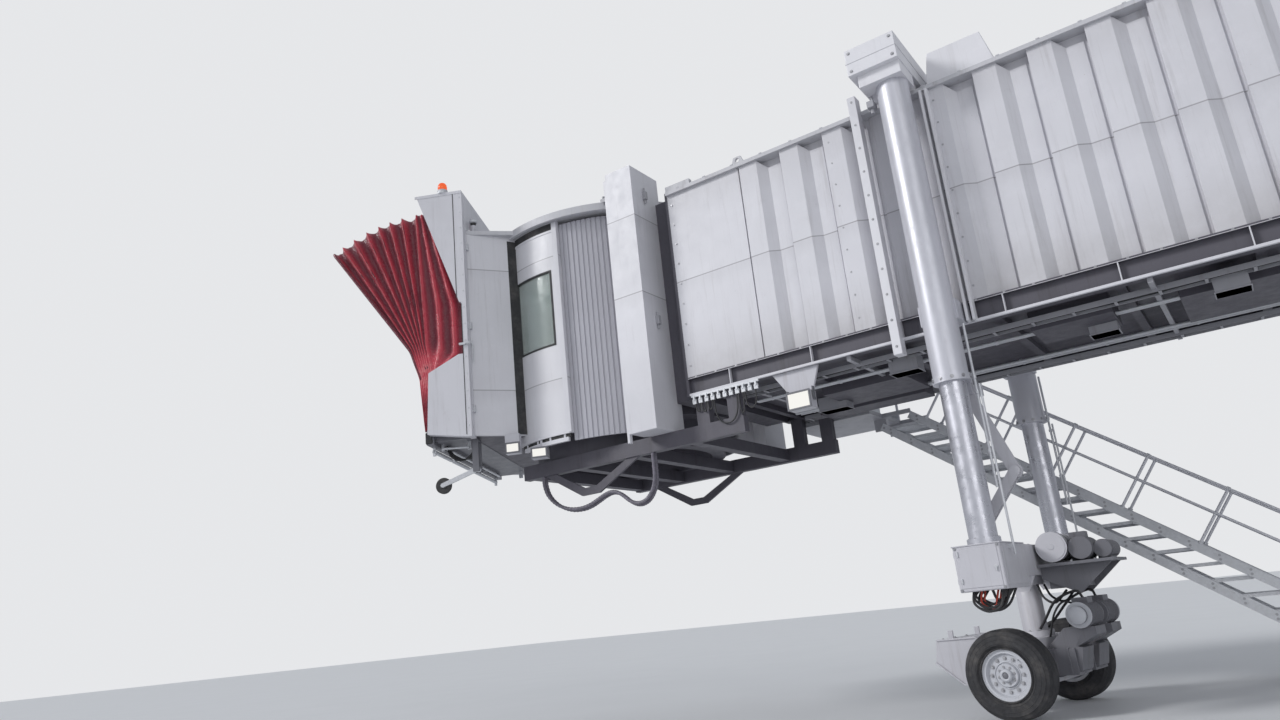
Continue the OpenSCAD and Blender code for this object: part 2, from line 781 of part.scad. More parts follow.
// Tyre with round shoulders, made by turning its section
module tyre(side) {
    w = tyre_w / 2;
    color("black") on_bogie() translate([0, side * wheel_y, tyre_r]) rotate([90, 0, 0]) rotate_extrude($fn = 180)
        polygon([[rim_r, -w + 35], [rim_r + 60, -w], [tyre_r - 60, -w + 6], [tyre_r - 22, -w + 26], [tyre_r, -w + 75],
            [tyre_r, w - 75], [tyre_r - 22, w - 26], [tyre_r - 60, w - 6], [rim_r + 60, w], [rim_r, w - 35]]);
}

// Dished rim with its hub
module rim(side) {
    w = tyre_w / 2;
    color("lightgrey") on_bogie() translate([0, side * wheel_y, tyre_r]) rotate([side * 90, 0, 0])
        mirror([0, 0, side > 0 ? 0 : 0]) rotate_extrude($fn = 180)
        polygon([[axle_r, -w + 40], [110, -w + 40], [120, -w + 70], [200, -w + 70], [215, -w + 35], [rim_r, -w + 35],
            [rim_r, w - 35], [215, w - 35], [205, -w + 110], [110, -w + 110], [100, w - 60], [axle_r, w - 60]]);
}

module tyre_near() {
    tyre(-1);
}

module rim_near() {
    rim(1 * -1);
}

module tyre_far() {
    tyre(1);
}

module rim_far() {
    rim(1);
}

// Cab

// Round floor with the turning half of the turntable and a nose to the front frame
module cab_floor() {
    z0 = cab_floor_z - cab_floor_h;
    nose = [[-front_x - 60, -side_y + 60], [-front_x, -side_y + 60], [side_end[0] - 10, side_end[1] + 60],
        [side_end[0] + 90, side_end[1] + 155], [-900, -900]];
    color("dimgrey") on_cab() {
        difference() {
            union() {
                translate([0, 0, z0]) cylinder(r = floor_r, h = cab_floor_h, $fn = 180);
                translate([0, 0, z0]) linear_extrude(cab_floor_h)
                    polygon(concat(nose, [for (i = [4 : -1 : 0]) [nose[i][0], -nose[i][1]]]));
            }
            both_sides() difference() {
                ring_part(floor_r - 1, cab_r, arc_front, -30, z0 - 1, cab_floor_z + 1);
                cylinder(r = floor_r, h = cab_top, $fn = 180);
            }
        }
        translate([0, 0, ring_z + fit]) difference() {
            cylinder(r = ring_r, h = z0 - ring_z - fit, $fn = 180);
            translate([0, 0, -1]) cylinder(r = ring_r - 200, h = 400, $fn = 180);
        }
    }
}

// Window in the near curved wall, between two angles and two heights
glass_a = [-46, -23.3];
glass_z = [5130, 6200];

// Curved side walls and the flat walls that run out to the front frame
module cab_walls() {
    color("lightgrey") on_cab() {
        difference() {
            both_sides() ring_part(cab_r - cab_wall_t, cab_r, arc_front, arc_rear, cab_bottom, cab_top);
            ring_part(cab_r - cab_wall_t - 1, cab_r + 1, glass_a[0], glass_a[1], glass_z[0], glass_z[1]);
        }
        both_sides() translate([0, 0, cab_floor_z - cab_floor_h]) difference() {
            linear_extrude(cab_top - cab_floor_z + cab_floor_h) polygon([
                [-front_x, -side_y], side_end, side_end + [130, 110], side_end + [90, 155],
                [side_end[0] - 10, side_end[1] + 60], [-front_x, -side_y + 60]]);
            translate([0, 0, -1]) cylinder(r = cab_r, h = cab_top, $fn = 180);
            translate([0, 0, cab_top - cab_floor_z + cab_floor_h]) rotate_extrude($fn = 180) polygon([
                [eave_r - 60, 0], [eave_r - 50, -35], [eave_r, -35], [eave_r, 10], [eave_r - 60, 10]]);
        }
    }
}

module cab_window() {
    color("lightcyan") on_cab()
        ring_part(cab_r - cab_wall_t + 15, cab_r - 15, glass_a[0], glass_a[1], glass_z[0], glass_z[1]);
}

// Round roof with a rolled eave and a front part over the side walls
module cab_roof() {
    color("gainsboro") on_cab() {
        translate([0, 0, cab_top]) rotate_extrude($fn = 180) polygon([
            [0, 0], [eave_r - 60, 0], [eave_r - 50, -35], [eave_r, -35], [eave_r, 70], [eave_r - 60, 70],
            [eave_r - 100, 60], [0, 130]]);
        translate([0, 0, cab_top]) linear_extrude(60) polygon([
            [-front_x, -side_y], [-1200, -1400], [-1200, 1400], [-front_x, side_y]]);
    }
}

// Upright frame at the cab's mouth with upper and lower cheek boxes
module front_frame() {
    z0 = 3950;
    f = -front_x;
    color("lightgrey") on_cab() {
        both_sides() {
            block([f - 70, -front_y, z0], [f, -side_y + 60, front_top]);
            block([f - 70, -side_y + 60, cab_floor_z], [f, -canopy_y - fit, front_top]);
            plate_xz(-front_y, -front_y + 110, [
                [f - 70, front_top], [f - 680, front_top], [f - 100, 5880], [f - 70, 5880]]);
            plate_xz(-front_y, -front_y + 110, [
                [f - 70, z0], [f - 620, z0 + 90], [f - 580, 4900], [f - 140, 5120], [f - 70, 5120]]);
        }
        block([f - 70, -side_y + 60, front_top - 380], [f, side_y - 60, front_top]);
    }
}

// Platform nose with its rubber buffer
module bumper() {
    z0 = cab_floor_z - cab_floor_h;
    f = -front_x - 60;
    color("dimgrey") on_cab() {
        block([f - 520, -side_y + 60, z0 - 10], [f, side_y - 60, cab_floor_z - 20]);
        block([f - 620, -side_y, z0 - 60], [f - 520, side_y, cab_floor_z - 40]);
        for (y = [level_y - 80, level_y + 55])
            block([level_pivot[0] - 45, y, level_pivot[1] - 45], [level_pivot[0] + 45, y + 25, z0 - 10]);
        block([level_pivot[0] - 45, level_y - 80, z0 - 40], [level_pivot[0] + 45, level_y + 80, z0 - 10]);
        rod_y(level_pivot[0], level_pivot[1], 16 - run, level_y - 60, level_y + 60);
    }
}

// Beacon on the front frame, small lamp behind it and two floodlights under the floor
module cab_lamps() {
    f = -front_x;
    color("orangered") on_cab() {
        translate([f - 295, -front_y + 55, front_top]) cylinder_at(52, 0, 60);
        translate([f - 295, -front_y + 55, front_top + 60]) difference() {
            sphere(r = 54);
            translate([-100, -100, -100]) cube([200, 200, 100]);
        }
        translate([f + 90, -side_y + 90, cab_top + 60]) {
            cylinder_at(28, 0, 141);
            cylinder_at(45, 140, 200);
        }
        block([-1540, -1480, cab_bottom - 140], [-1340, -1360, cab_floor_z - cab_floor_h]);
        block([-1170, -1550, curtain_z0 - 160], [-950, -1400, curtain_z0 - 10]);
        translate([0, 0, curtain_z0 - 10]) intersection() {
            block([-1060, -1600, 0], [-1020, -1300, cab_bottom - curtain_z0 + 10]);
            difference() {
                cylinder(r = cab_r, h = 500, $fn = 180);
                translate([0, 0, -1]) cylinder(r = cab_r - cab_wall_t + 5, h = 502, $fn = 180);
            }
        }
    }
}

// Canopy: a fan of cloth over bows that pivot low on the front frame

// Side outline of the fan and of the cloth that joins it to the front frame
function canopy_curve(r) = [for (i = [0 : 8]) let (a = canopy_open * i / 8)
    [canopy_pivot[0] - r * sin(a), canopy_pivot[1] + r * cos(a)]];
canopy_side = concat(
    [[-front_x - 60, 5930], [-front_x - 60, 5130], [canopy_pivot[0] + 110, 4960], [canopy_pivot[0] + 20, 4150],
        [canopy_pivot[0] - 50, 4250], [canopy_pivot[0] - 110, 4960]],
    [for (i = [8 : -1 : 0]) canopy_curve(canopy_r)[i]],
    [[-front_x - 600, canopy_pivot[1] + canopy_r]]);

module canopy() {
    top = canopy_pivot[1] + canopy_r;
    color("crimson") on_cab() {
        both_sides() plate_xz(-canopy_y, -canopy_y + canopy_t, canopy_side);
        plate_xz(-canopy_y + 1, canopy_y - 1, concat(
            [[-front_x - 70, top - canopy_t], [-front_x - 70, top]],
            canopy_curve(canopy_r), [for (i = [8 : -1 : 0]) canopy_curve(canopy_r - canopy_t)[i]]));
    }
}

// Front hoop of the canopy
module canopy_bow() {
    r = 22;
    y = canopy_y - canopy_t - r;
    h = canopy_r - canopy_t - r - 8;
    color("dimgrey") on_cab() translate([canopy_pivot[0], 0, canopy_pivot[1]]) rotate([0, -canopy_open + 1, 0]) {
        both_sides() translate([0, -y, 60]) cylinder(r = r, h = h - 60);
        rod_y(0, h, r, -y, y);
    }
}

// Auto-leveller: arm and small wheel under the near corner of the floor
module leveller_arm() {
    color("silver") on_cab() difference() {
        union() {
            link_xz(level_pivot, level_wheel, 60, level_y - 15, level_y + 15, 60);
            rod_y(level_pivot[0], level_pivot[1], 40, level_y - 50, level_y + 50);
            rod_y(level_wheel[0], level_wheel[1], 12 - run, level_y - 15, level_y + 75);
        }
        rod_y(level_pivot[0], level_pivot[1], 16, level_y - 60, level_y + 60);
    }
}

module leveller_wheel() {
    color("dimgrey") on_cab() translate([level_wheel[0], level_y + 70, level_wheel[1]]) rotate([90, 0, 0])
        rotate_extrude() polygon([[12, 0], [level_r - 8, 0], [level_r, 8], [level_r, 42], [level_r - 8, 50], [12, 50]]);
}

// Service stair

// Two bars on each side, one above the other, joined by the posts and the foot plates
module stair_stringers() {
    foot = (foot_r - stair_z + (stair_end - 60) * sin(stair_slope)) / cos(stair_slope);
    color("lightgrey") on_stair() {
        for (y = [stair_y, stair_y + string_t + stair_w]) difference() {
            union() {
                block([-40, y, -string_h / 2], [stair_end, y + string_t, string_h / 2]);
                block([upper_start, y, upper_bar - string_h / 2],
                      [stair_end - 20, y + string_t, upper_bar + string_h / 2]);
                block([stair_end - 110, y, foot - 45], [stair_end - 10, y + string_t, 0]);
            }
            rod_y(0, 0, 18 + run, y - 1, y + string_t + 1);
        }
        rod_y(stair_end - 60, foot, 20 - run, stair_y - 70, stair_y + 2 * string_t + stair_w + 70);
    }
}

// Level treads that reach from the lower bars to the upper bars, with turned-down edges
module stair_treads() {
    y0 = stair_y + string_t;
    reach = upper_bar / sin(stair_slope);
    color("darkgrey") for (i = [1 : treads]) translate([
        stair_x + (stair_z - landing_z + i * tread_rise) / tan(stair_slope), y0, landing_z - i * tread_rise]) {
            translate([70, 0, -6]) cube([reach - 140, stair_w, 6]);
            for (x = [70, reach - 76]) translate([x, 0, -40]) cube([6, stair_w, 36]);
            for (y = [0, stair_w - 6]) translate([70, y, -40]) cube([reach - 140, 6, 36]);
        }
}

// Handrails over both pairs of bars
module stair_rail() {
    posts = floor((stair_end - 150 - post_start) / post_pitch);
    color("silver") on_stair() for (y = [stair_y + string_t / 2, stair_y + string_t * 1.5 + stair_w]) {
        for (i = [0 : posts])
            tube([post_start + i * post_pitch, y, upper_bar + string_h / 2],
                 [post_start + i * post_pitch, y, rail_h], 18);
        for (z = [rail_mid, rail_h])
            tube([post_start - 150, y, z], [post_start + posts * post_pitch + 150, y, z], 16);
    }
}

module stair_wheels() {
    foot = (foot_r - stair_z + (stair_end - 60) * sin(stair_slope)) / cos(stair_slope);
    color("black") on_stair() for (y = [stair_y - 65, stair_y + 2 * string_t + stair_w + 5])
        translate([stair_end - 60, y + 60, foot]) rotate([90, 0, 0]) rotate_extrude()
            polygon([[20, 0], [foot_r - 12, 0], [foot_r, 12], [foot_r, 48], [foot_r - 12, 60], [20, 60]]);
}

// Inner tunnel

module inner_wall() {
    n = floor(inner_len / rib_pitch);
    start = inner_x1 - 100 - n * rib_pitch + rib_pitch;
    translate([0, 0, inner_floor_z]) linear_extrude(inner_z1 - inner_floor_z) polygon(concat(
        [[inner_x0, -inner_half + inner_rib], [start, -inner_half + inner_rib]],
        ribs(start, n - 1, inner_half, inner_rib - 10),
        [[inner_x1 - 100, -inner_half + inner_rib], [inner_x1 - 100, -inner_half], [inner_x1, -inner_half]],
        [[inner_x1, -inner_room], [inner_x0, -inner_room]]));
}

module inner_shell() {
    color("lightgrey") {
        both_sides() inner_wall();
        block([inner_x0, -inner_half, inner_z1], [inner_x1, inner_half, inner_z1 + 60]);
    }
}

// Floor of the inner tunnel with its rollers' skids and the lugs of the slope hinge
module inner_floor() {
    color("dimgrey") {
        block([inner_x0, -inner_half, inner_z0], [inner_x1, inner_half, inner_floor_z]);
        both_sides() {
            block([inner_x0 + 100, -inner_half + 60, floor_z + fit], [inner_x0 + 500, -inner_half + 160, inner_z0]);
            block([inner_x1 - 450, -inner_half + 60, inner_z0 - 180],
                [hinge_x - lug_r - 12, -inner_half + 200, inner_z0]);
            plate_xz(-inner_half + 100, -inner_half + 160, [
                [inner_x1 - 300, inner_z0 - 100], [inner_x1 - 300, hinge_z - 60], [hinge_x, hinge_z - 60],
                [hinge_x + 60, hinge_z], [hinge_x + 40, hinge_z + 60], [inner_x1, hinge_z + 80],
                [hinge_x - lug_r - 40, inner_z0 - 100]]);
            rod_y(hinge_x, hinge_z, hinge_pin_r - run, -inner_half + 30, -inner_half + 230);
        }
    }
}

// Fixed entry at the rotunda that carries the slope hinge
module rotunda_throat() {
    y1 = inner_half;
    y0 = inner_room;
    x1 = rotunda_x - sqrt(pow(rotunda_r, 2) - pow(y1, 2)) + 20;
    color("lightgrey") {
        difference() {
            block([throat_x0, -y1, rotunda_floor_z - rotunda_floor_h], [x1, y1, inner_z1 + 60]);
            block([throat_x0 - 1, -y0, rotunda_floor_z], [x1 + 1, y0, inner_z1 - 60]);
            translate([rotunda_x, 0, 0]) cylinder(r = rotunda_r, h = 9000, $fn = 180);
        }
        both_sides() for (y = [-y1 + 30, -y1 + 170]) difference() {
            union() {
                block([throat_x0, y, hinge_z - lug_r],
                    [throat_x0 + 300, y + 60, rotunda_floor_z - rotunda_floor_h]);
                block([hinge_x, y, hinge_z - lug_r], [throat_x0, y + 60, hinge_z + lug_r]);
                rod_y(hinge_x, hinge_z, lug_r, y, y + 60);
            }
            rod_y(hinge_x, hinge_z, hinge_pin_r, y - 1, y + 61);
        }
    }
}

// Rotunda

module rotunda_floor() {
    color("dimgrey") translate([rotunda_x, 0, rotunda_floor_z - rotunda_floor_h]) {
        cylinder(r = rotunda_r, h = rotunda_floor_h, $fn = 180);
        translate([0, 0, -100]) cylinder(r = bearing_r, h = 100, $fn = 180);
    }
}

// Round wall, open to the tunnel and to the terminal
module rotunda_wall() {
    gate = inner_room;
    a = asin(gate / rotunda_r);
    color("lightgrey") translate([rotunda_x, 0, 0]) both_sides()
        ring_part(rotunda_r - 60, rotunda_r - fit, -90 + a, 90 - a, rotunda_floor_z, rotunda_top - fit);
}

module rotunda_roof() {
    color("gainsboro") translate([rotunda_x, 0, rotunda_top]) rotate_extrude($fn = 180) polygon([
        [0, 0], [rotunda_r + 60, 0], [rotunda_r + 60, -50], [rotunda_r + 110, -50], [rotunda_r + 110, 70],
        [rotunda_r, 90], [0, 220]]);
}

// Flanged frame that bolts to the terminal
terminal_x = rotunda_x + rotunda_r + 200;
module terminal_frame() {
    y0 = inner_room;
    y1 = inner_half;
    z0 = rotunda_floor_z - rotunda_floor_h;
    z1 = inner_z1 + 60;
    color("lightgrey") difference() {
        union() {
            block([rotunda_x + rotunda_r - 500, -y1, z0], [terminal_x, y1, z1]);
            block([terminal_x - 60, -y1 - 120, z0 - 100], [terminal_x, y1 + 120, z1 + 100]);
        }
        block([rotunda_x, -y0, rotunda_floor_z], [terminal_x + 1, y0, z1 - 120]);
        translate([rotunda_x, 0, 0]) cylinder(r = rotunda_r, h = 9000, $fn = 180);
    }
}

// Column of the rotunda with its flange, gussets and anchor holes
module pedestal() {
    pcd = base_r - 130;
    color("darkgrey") translate([rotunda_x, 0, 0]) difference() {
        union() {
            cylinder(r = base_r, h = 70, $fn = 180);
            cylinder(r = pedestal_r, h = pedestal_top, $fn = 180);
            translate([0, 0, pedestal_top - 90]) cylinder(r = bearing_r, h = 90, $fn = 180);
            for (i = [0 : 7]) rotate([0, 0, 45 * i + 15]) {
                plate_xz(-15, 15, [[pedestal_r - 20, 70], [base_r - 250, 70], [pedestal_r - 20, 700]]);
                plate_xz(-15, 15, [[pedestal_r - 20, pedestal_top - 90], [bearing_r - 50, pedestal_top - 90],
                    [pedestal_r - 20, pedestal_top - 600]]);
            }
        }
        for (i = [0 : 11]) rotate([0, 0, 30 * i]) translate([pcd, 0, -1]) cylinder(r = anchor_r, h = 72);
    }
}

on_site() pedestal();
on_site() rotunda_floor();
on_site() rotunda_wall();
on_site() rotunda_roof();
on_site() terminal_frame();
on_site() rotunda_throat();
on_site() inner_floor();
on_site() inner_shell();
on_site() outer_floor();
on_site() bottom_chords();
on_site() near_wall();
on_site() far_wall();
on_site() outer_roof();
on_site() end_frame();
on_site() portal_posts();
on_site() header_beam();
on_site() outer_columns();
on_site() cable_hangers();
on_site() service_door();
on_site() landing();
on_site() landing_rail();
on_site() cab_support();
on_site() curtain_housings();
on_site() slat_curtains();
on_site() tunnel_floodlight();
on_site() festoon();
on_site() cab_hose();
on_site() inner_columns();
on_site() crossbeam();
on_site() cabinet();
on_site() pump_set();
on_site() scissor_upper();
on_site() scissor_lower();
on_site() bogie_frame();
on_site() drive_units();
on_site() tyre_near();
on_site() rim_near();
on_site() tyre_far();
on_site() rim_far();
on_site() cab_floor();
on_site() cab_walls();
on_site() cab_window();
on_site() cab_roof();
on_site() front_frame();
on_site() bumper();
on_site() cab_lamps();
on_site() canopy();
on_site() canopy_bow();
on_site() leveller_arm();
on_site() leveller_wheel();
on_site() stair_stringers();
on_site() stair_treads();
on_site() stair_rail();
on_site() stair_wheels();
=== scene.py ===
import json
from math import copysign, cos, pi, radians, sin

import bmesh
import bpy
from mathutils import Matrix, Vector, noise
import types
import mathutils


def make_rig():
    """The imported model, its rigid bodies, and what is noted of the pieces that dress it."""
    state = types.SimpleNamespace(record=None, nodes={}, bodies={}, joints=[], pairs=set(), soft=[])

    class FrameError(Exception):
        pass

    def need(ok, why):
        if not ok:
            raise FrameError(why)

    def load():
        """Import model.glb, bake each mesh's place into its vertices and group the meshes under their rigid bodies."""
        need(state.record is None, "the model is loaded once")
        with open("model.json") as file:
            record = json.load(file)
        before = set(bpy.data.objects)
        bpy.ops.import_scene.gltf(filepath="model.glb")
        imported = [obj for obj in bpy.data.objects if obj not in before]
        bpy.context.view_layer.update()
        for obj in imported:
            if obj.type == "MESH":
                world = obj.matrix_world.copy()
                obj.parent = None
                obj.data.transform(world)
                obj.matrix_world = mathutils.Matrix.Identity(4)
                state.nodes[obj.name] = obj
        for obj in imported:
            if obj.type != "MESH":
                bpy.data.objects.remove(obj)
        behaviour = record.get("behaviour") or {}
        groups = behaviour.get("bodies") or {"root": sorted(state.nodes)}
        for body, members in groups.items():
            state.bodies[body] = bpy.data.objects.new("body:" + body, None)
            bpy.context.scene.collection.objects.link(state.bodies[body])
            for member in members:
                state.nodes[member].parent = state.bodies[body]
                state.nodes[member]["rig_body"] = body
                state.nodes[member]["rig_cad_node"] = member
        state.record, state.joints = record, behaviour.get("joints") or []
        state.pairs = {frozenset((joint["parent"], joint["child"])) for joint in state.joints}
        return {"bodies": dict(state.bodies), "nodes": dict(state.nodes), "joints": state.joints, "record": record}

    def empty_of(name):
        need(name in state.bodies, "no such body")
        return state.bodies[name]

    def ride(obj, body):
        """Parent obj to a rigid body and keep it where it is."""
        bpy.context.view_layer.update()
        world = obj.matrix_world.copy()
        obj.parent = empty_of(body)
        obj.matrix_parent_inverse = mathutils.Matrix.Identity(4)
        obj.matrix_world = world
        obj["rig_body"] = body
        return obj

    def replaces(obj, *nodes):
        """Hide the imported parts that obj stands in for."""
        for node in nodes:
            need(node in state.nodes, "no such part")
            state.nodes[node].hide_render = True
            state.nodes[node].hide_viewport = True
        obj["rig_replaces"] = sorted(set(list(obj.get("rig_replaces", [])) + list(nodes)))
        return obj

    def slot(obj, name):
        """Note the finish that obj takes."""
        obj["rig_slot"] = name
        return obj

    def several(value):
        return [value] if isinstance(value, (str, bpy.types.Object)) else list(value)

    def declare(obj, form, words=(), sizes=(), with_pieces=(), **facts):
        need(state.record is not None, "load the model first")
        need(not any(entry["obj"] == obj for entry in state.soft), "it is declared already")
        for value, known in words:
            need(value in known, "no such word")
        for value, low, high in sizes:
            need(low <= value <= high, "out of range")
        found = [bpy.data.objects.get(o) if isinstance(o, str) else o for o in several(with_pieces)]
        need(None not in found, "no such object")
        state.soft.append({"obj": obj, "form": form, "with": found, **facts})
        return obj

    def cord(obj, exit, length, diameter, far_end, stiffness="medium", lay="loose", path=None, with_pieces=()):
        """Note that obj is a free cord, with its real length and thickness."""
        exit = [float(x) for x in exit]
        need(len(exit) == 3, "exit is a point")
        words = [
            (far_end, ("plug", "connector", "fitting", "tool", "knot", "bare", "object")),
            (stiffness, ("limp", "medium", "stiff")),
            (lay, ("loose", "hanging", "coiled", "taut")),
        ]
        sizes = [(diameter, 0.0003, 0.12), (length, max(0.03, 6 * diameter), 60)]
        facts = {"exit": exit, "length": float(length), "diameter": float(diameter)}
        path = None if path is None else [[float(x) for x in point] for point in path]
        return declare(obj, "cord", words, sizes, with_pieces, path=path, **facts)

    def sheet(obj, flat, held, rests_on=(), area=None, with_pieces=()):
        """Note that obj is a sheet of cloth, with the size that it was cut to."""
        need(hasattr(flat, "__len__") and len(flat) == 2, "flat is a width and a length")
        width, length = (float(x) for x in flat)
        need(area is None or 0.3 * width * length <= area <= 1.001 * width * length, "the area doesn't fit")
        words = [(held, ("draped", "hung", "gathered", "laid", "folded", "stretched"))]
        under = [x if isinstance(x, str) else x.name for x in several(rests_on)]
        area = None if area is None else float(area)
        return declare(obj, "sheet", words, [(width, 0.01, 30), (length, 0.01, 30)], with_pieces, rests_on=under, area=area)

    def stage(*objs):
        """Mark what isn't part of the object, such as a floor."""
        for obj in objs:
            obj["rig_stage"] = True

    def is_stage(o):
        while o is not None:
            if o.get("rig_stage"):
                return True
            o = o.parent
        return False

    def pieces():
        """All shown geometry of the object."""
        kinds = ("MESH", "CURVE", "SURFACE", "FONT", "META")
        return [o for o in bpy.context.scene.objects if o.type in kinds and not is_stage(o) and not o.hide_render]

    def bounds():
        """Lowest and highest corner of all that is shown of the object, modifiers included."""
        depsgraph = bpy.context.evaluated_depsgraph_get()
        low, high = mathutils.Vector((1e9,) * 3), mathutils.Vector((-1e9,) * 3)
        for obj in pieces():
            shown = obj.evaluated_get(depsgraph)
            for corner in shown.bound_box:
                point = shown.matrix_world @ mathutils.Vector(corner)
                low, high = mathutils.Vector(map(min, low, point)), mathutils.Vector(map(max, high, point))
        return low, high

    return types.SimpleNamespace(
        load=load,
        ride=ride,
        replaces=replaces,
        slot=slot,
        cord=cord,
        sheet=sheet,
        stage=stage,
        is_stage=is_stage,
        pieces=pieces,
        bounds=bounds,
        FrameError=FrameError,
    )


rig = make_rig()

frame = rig.load()
nodes = frame["nodes"]
cad_low, cad_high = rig.bounds()
scene = bpy.context.scene
scene.view_settings.view_transform = "Standard"

# Places on the object, in metres, as in the solids: small parts are drawn with the lift columns at X = 0

SITE_X = -11.62
ROTUNDA_X = -SITE_X
STAIR_SLOPE = 36.4


def placed(x, z, degrees, axis):
    return Matrix.Translation((SITE_X + x, 0, z)) @ Matrix.Rotation(radians(degrees), 4, axis)


PLAIN = Matrix.Translation((SITE_X, 0, 0))
CAB = placed(-5.3, 0, 28, "Z")
BOGIE = placed(-0.1, 0, -8.5, "Z")
STAIR = placed(-2.08, 3.755, STAIR_SLOPE, "Y")

# Where the small parts of each body are drawn, other than PLAIN
PLACES = {"cab": CAB, "bogie": BOGIE, "wheel_near": BOGIE, "wheel_far": BOGIE, "stair": STAIR}

# The outer tunnel: half its width, heights of its parts, its two ends and the place of the columns
HALF = 1.45
CHORD_Z = 4.01
PANEL_Z = 4.25
SEAM_Z = 5.55
ROOF_Z = 6.8
RIB_PITCH = 0.58
RIB_BAYS = 11
TAIL_X = 0.22 + RIB_BAYS * RIB_PITCH
CAB_END = -3.3
COL_Y = 1.75
PIPE_Y = 1.7

# The inner tunnel's wall, the wheels, and the hanging cables
INNER_HALF = 1.131
WHEEL_Y = 0.88
WHEEL_Z = 0.45
LOOP_PITCH = 0.088
LOOP_START = -3.24

SIDES = (-1, 1)
UP = (0, 0, 1)
DOWN = (0, 0, -1)

# The photo's camera: width and focal length in pixels, place and turns
PHOTO_WIDE = 1280
FOCAL = 902.435
SENSOR = 36
EYE = (SITE_X + 2.4188, -10.9875, 1.2796)
YAW, TILT, ROLL = (radians(v) for v in (33.9506, 16.4146, -5.8217))
FAR_CLIP = 400
FLOOR_HALF = 160


def linked(name, data):
    item = bpy.data.objects.new(name, data)
    scene.collection.objects.link(item)
    return item


# Camera and light

def add_camera():
    ahead = Vector((-sin(YAW) * cos(TILT), cos(YAW) * cos(TILT), sin(TILT)))
    level = Vector((cos(YAW), sin(YAW), 0))
    over = level.cross(ahead)
    right = level * cos(ROLL) + over * sin(ROLL)
    up = over * cos(ROLL) - level * sin(ROLL)
    data = bpy.data.cameras.new("view_camera")
    data.sensor_width = SENSOR
    data.lens = FOCAL * SENSOR / PHOTO_WIDE
    data.clip_end = FAR_CLIP
    camera = linked("view_camera", data)
    camera.matrix_world = Matrix.Translation(EYE) @ Matrix((right, up, -ahead)).transposed().to_4x4()
    scene.camera = camera


def add_sun(name, towards, strength, angle):
    data = bpy.data.lights.new(name, "SUN")
    data.energy = strength
    data.angle = radians(angle)
    linked(name, data).matrix_world = Vector(towards).to_track_quat("-Z", "Y").to_matrix().to_4x4()


def add_node(tree, kind, **values):
    """A shader node with inputs set by name, an underscore for a space."""
    node = tree.nodes.new("ShaderNode" + kind)
    set_inputs(node, **values)
    return node


def set_inputs(node, **values):
    for name, value in values.items():
        node.inputs[name.replace("_", " ")].default_value = value


def add_world():
    """A soft sky for the light and a plain one for the camera."""
    world = bpy.data.worlds.new("studio")
    scene.world = world
    world.use_nodes = True
    tree = world.node_tree
    tree.nodes.clear()
    out = add_node(tree, "OutputWorld")
    mix = add_node(tree, "MixShader")
    soft = add_node(tree, "Background", Color=(0.82, 0.86, 0.92, 1), Strength=0.5)
    seen = add_node(tree, "Background", Color=(0.86, 0.87, 0.89, 1), Strength=0.92)
    rays = add_node(tree, "LightPath")
    direct = add_node(tree, "Math")
    direct.operation = "MAXIMUM"
    for a, b in ((rays.outputs["Is Camera Ray"], direct.inputs[0]),
            (rays.outputs["Is Transmission Ray"], direct.inputs[1]), (direct.outputs[0], mix.inputs[0]),
            (soft.outputs[0], mix.inputs[1]), (seen.outputs[0], mix.inputs[2]),
            (mix.outputs[0], out.inputs["Surface"])):
        tree.links.new(a, b)


# Materials

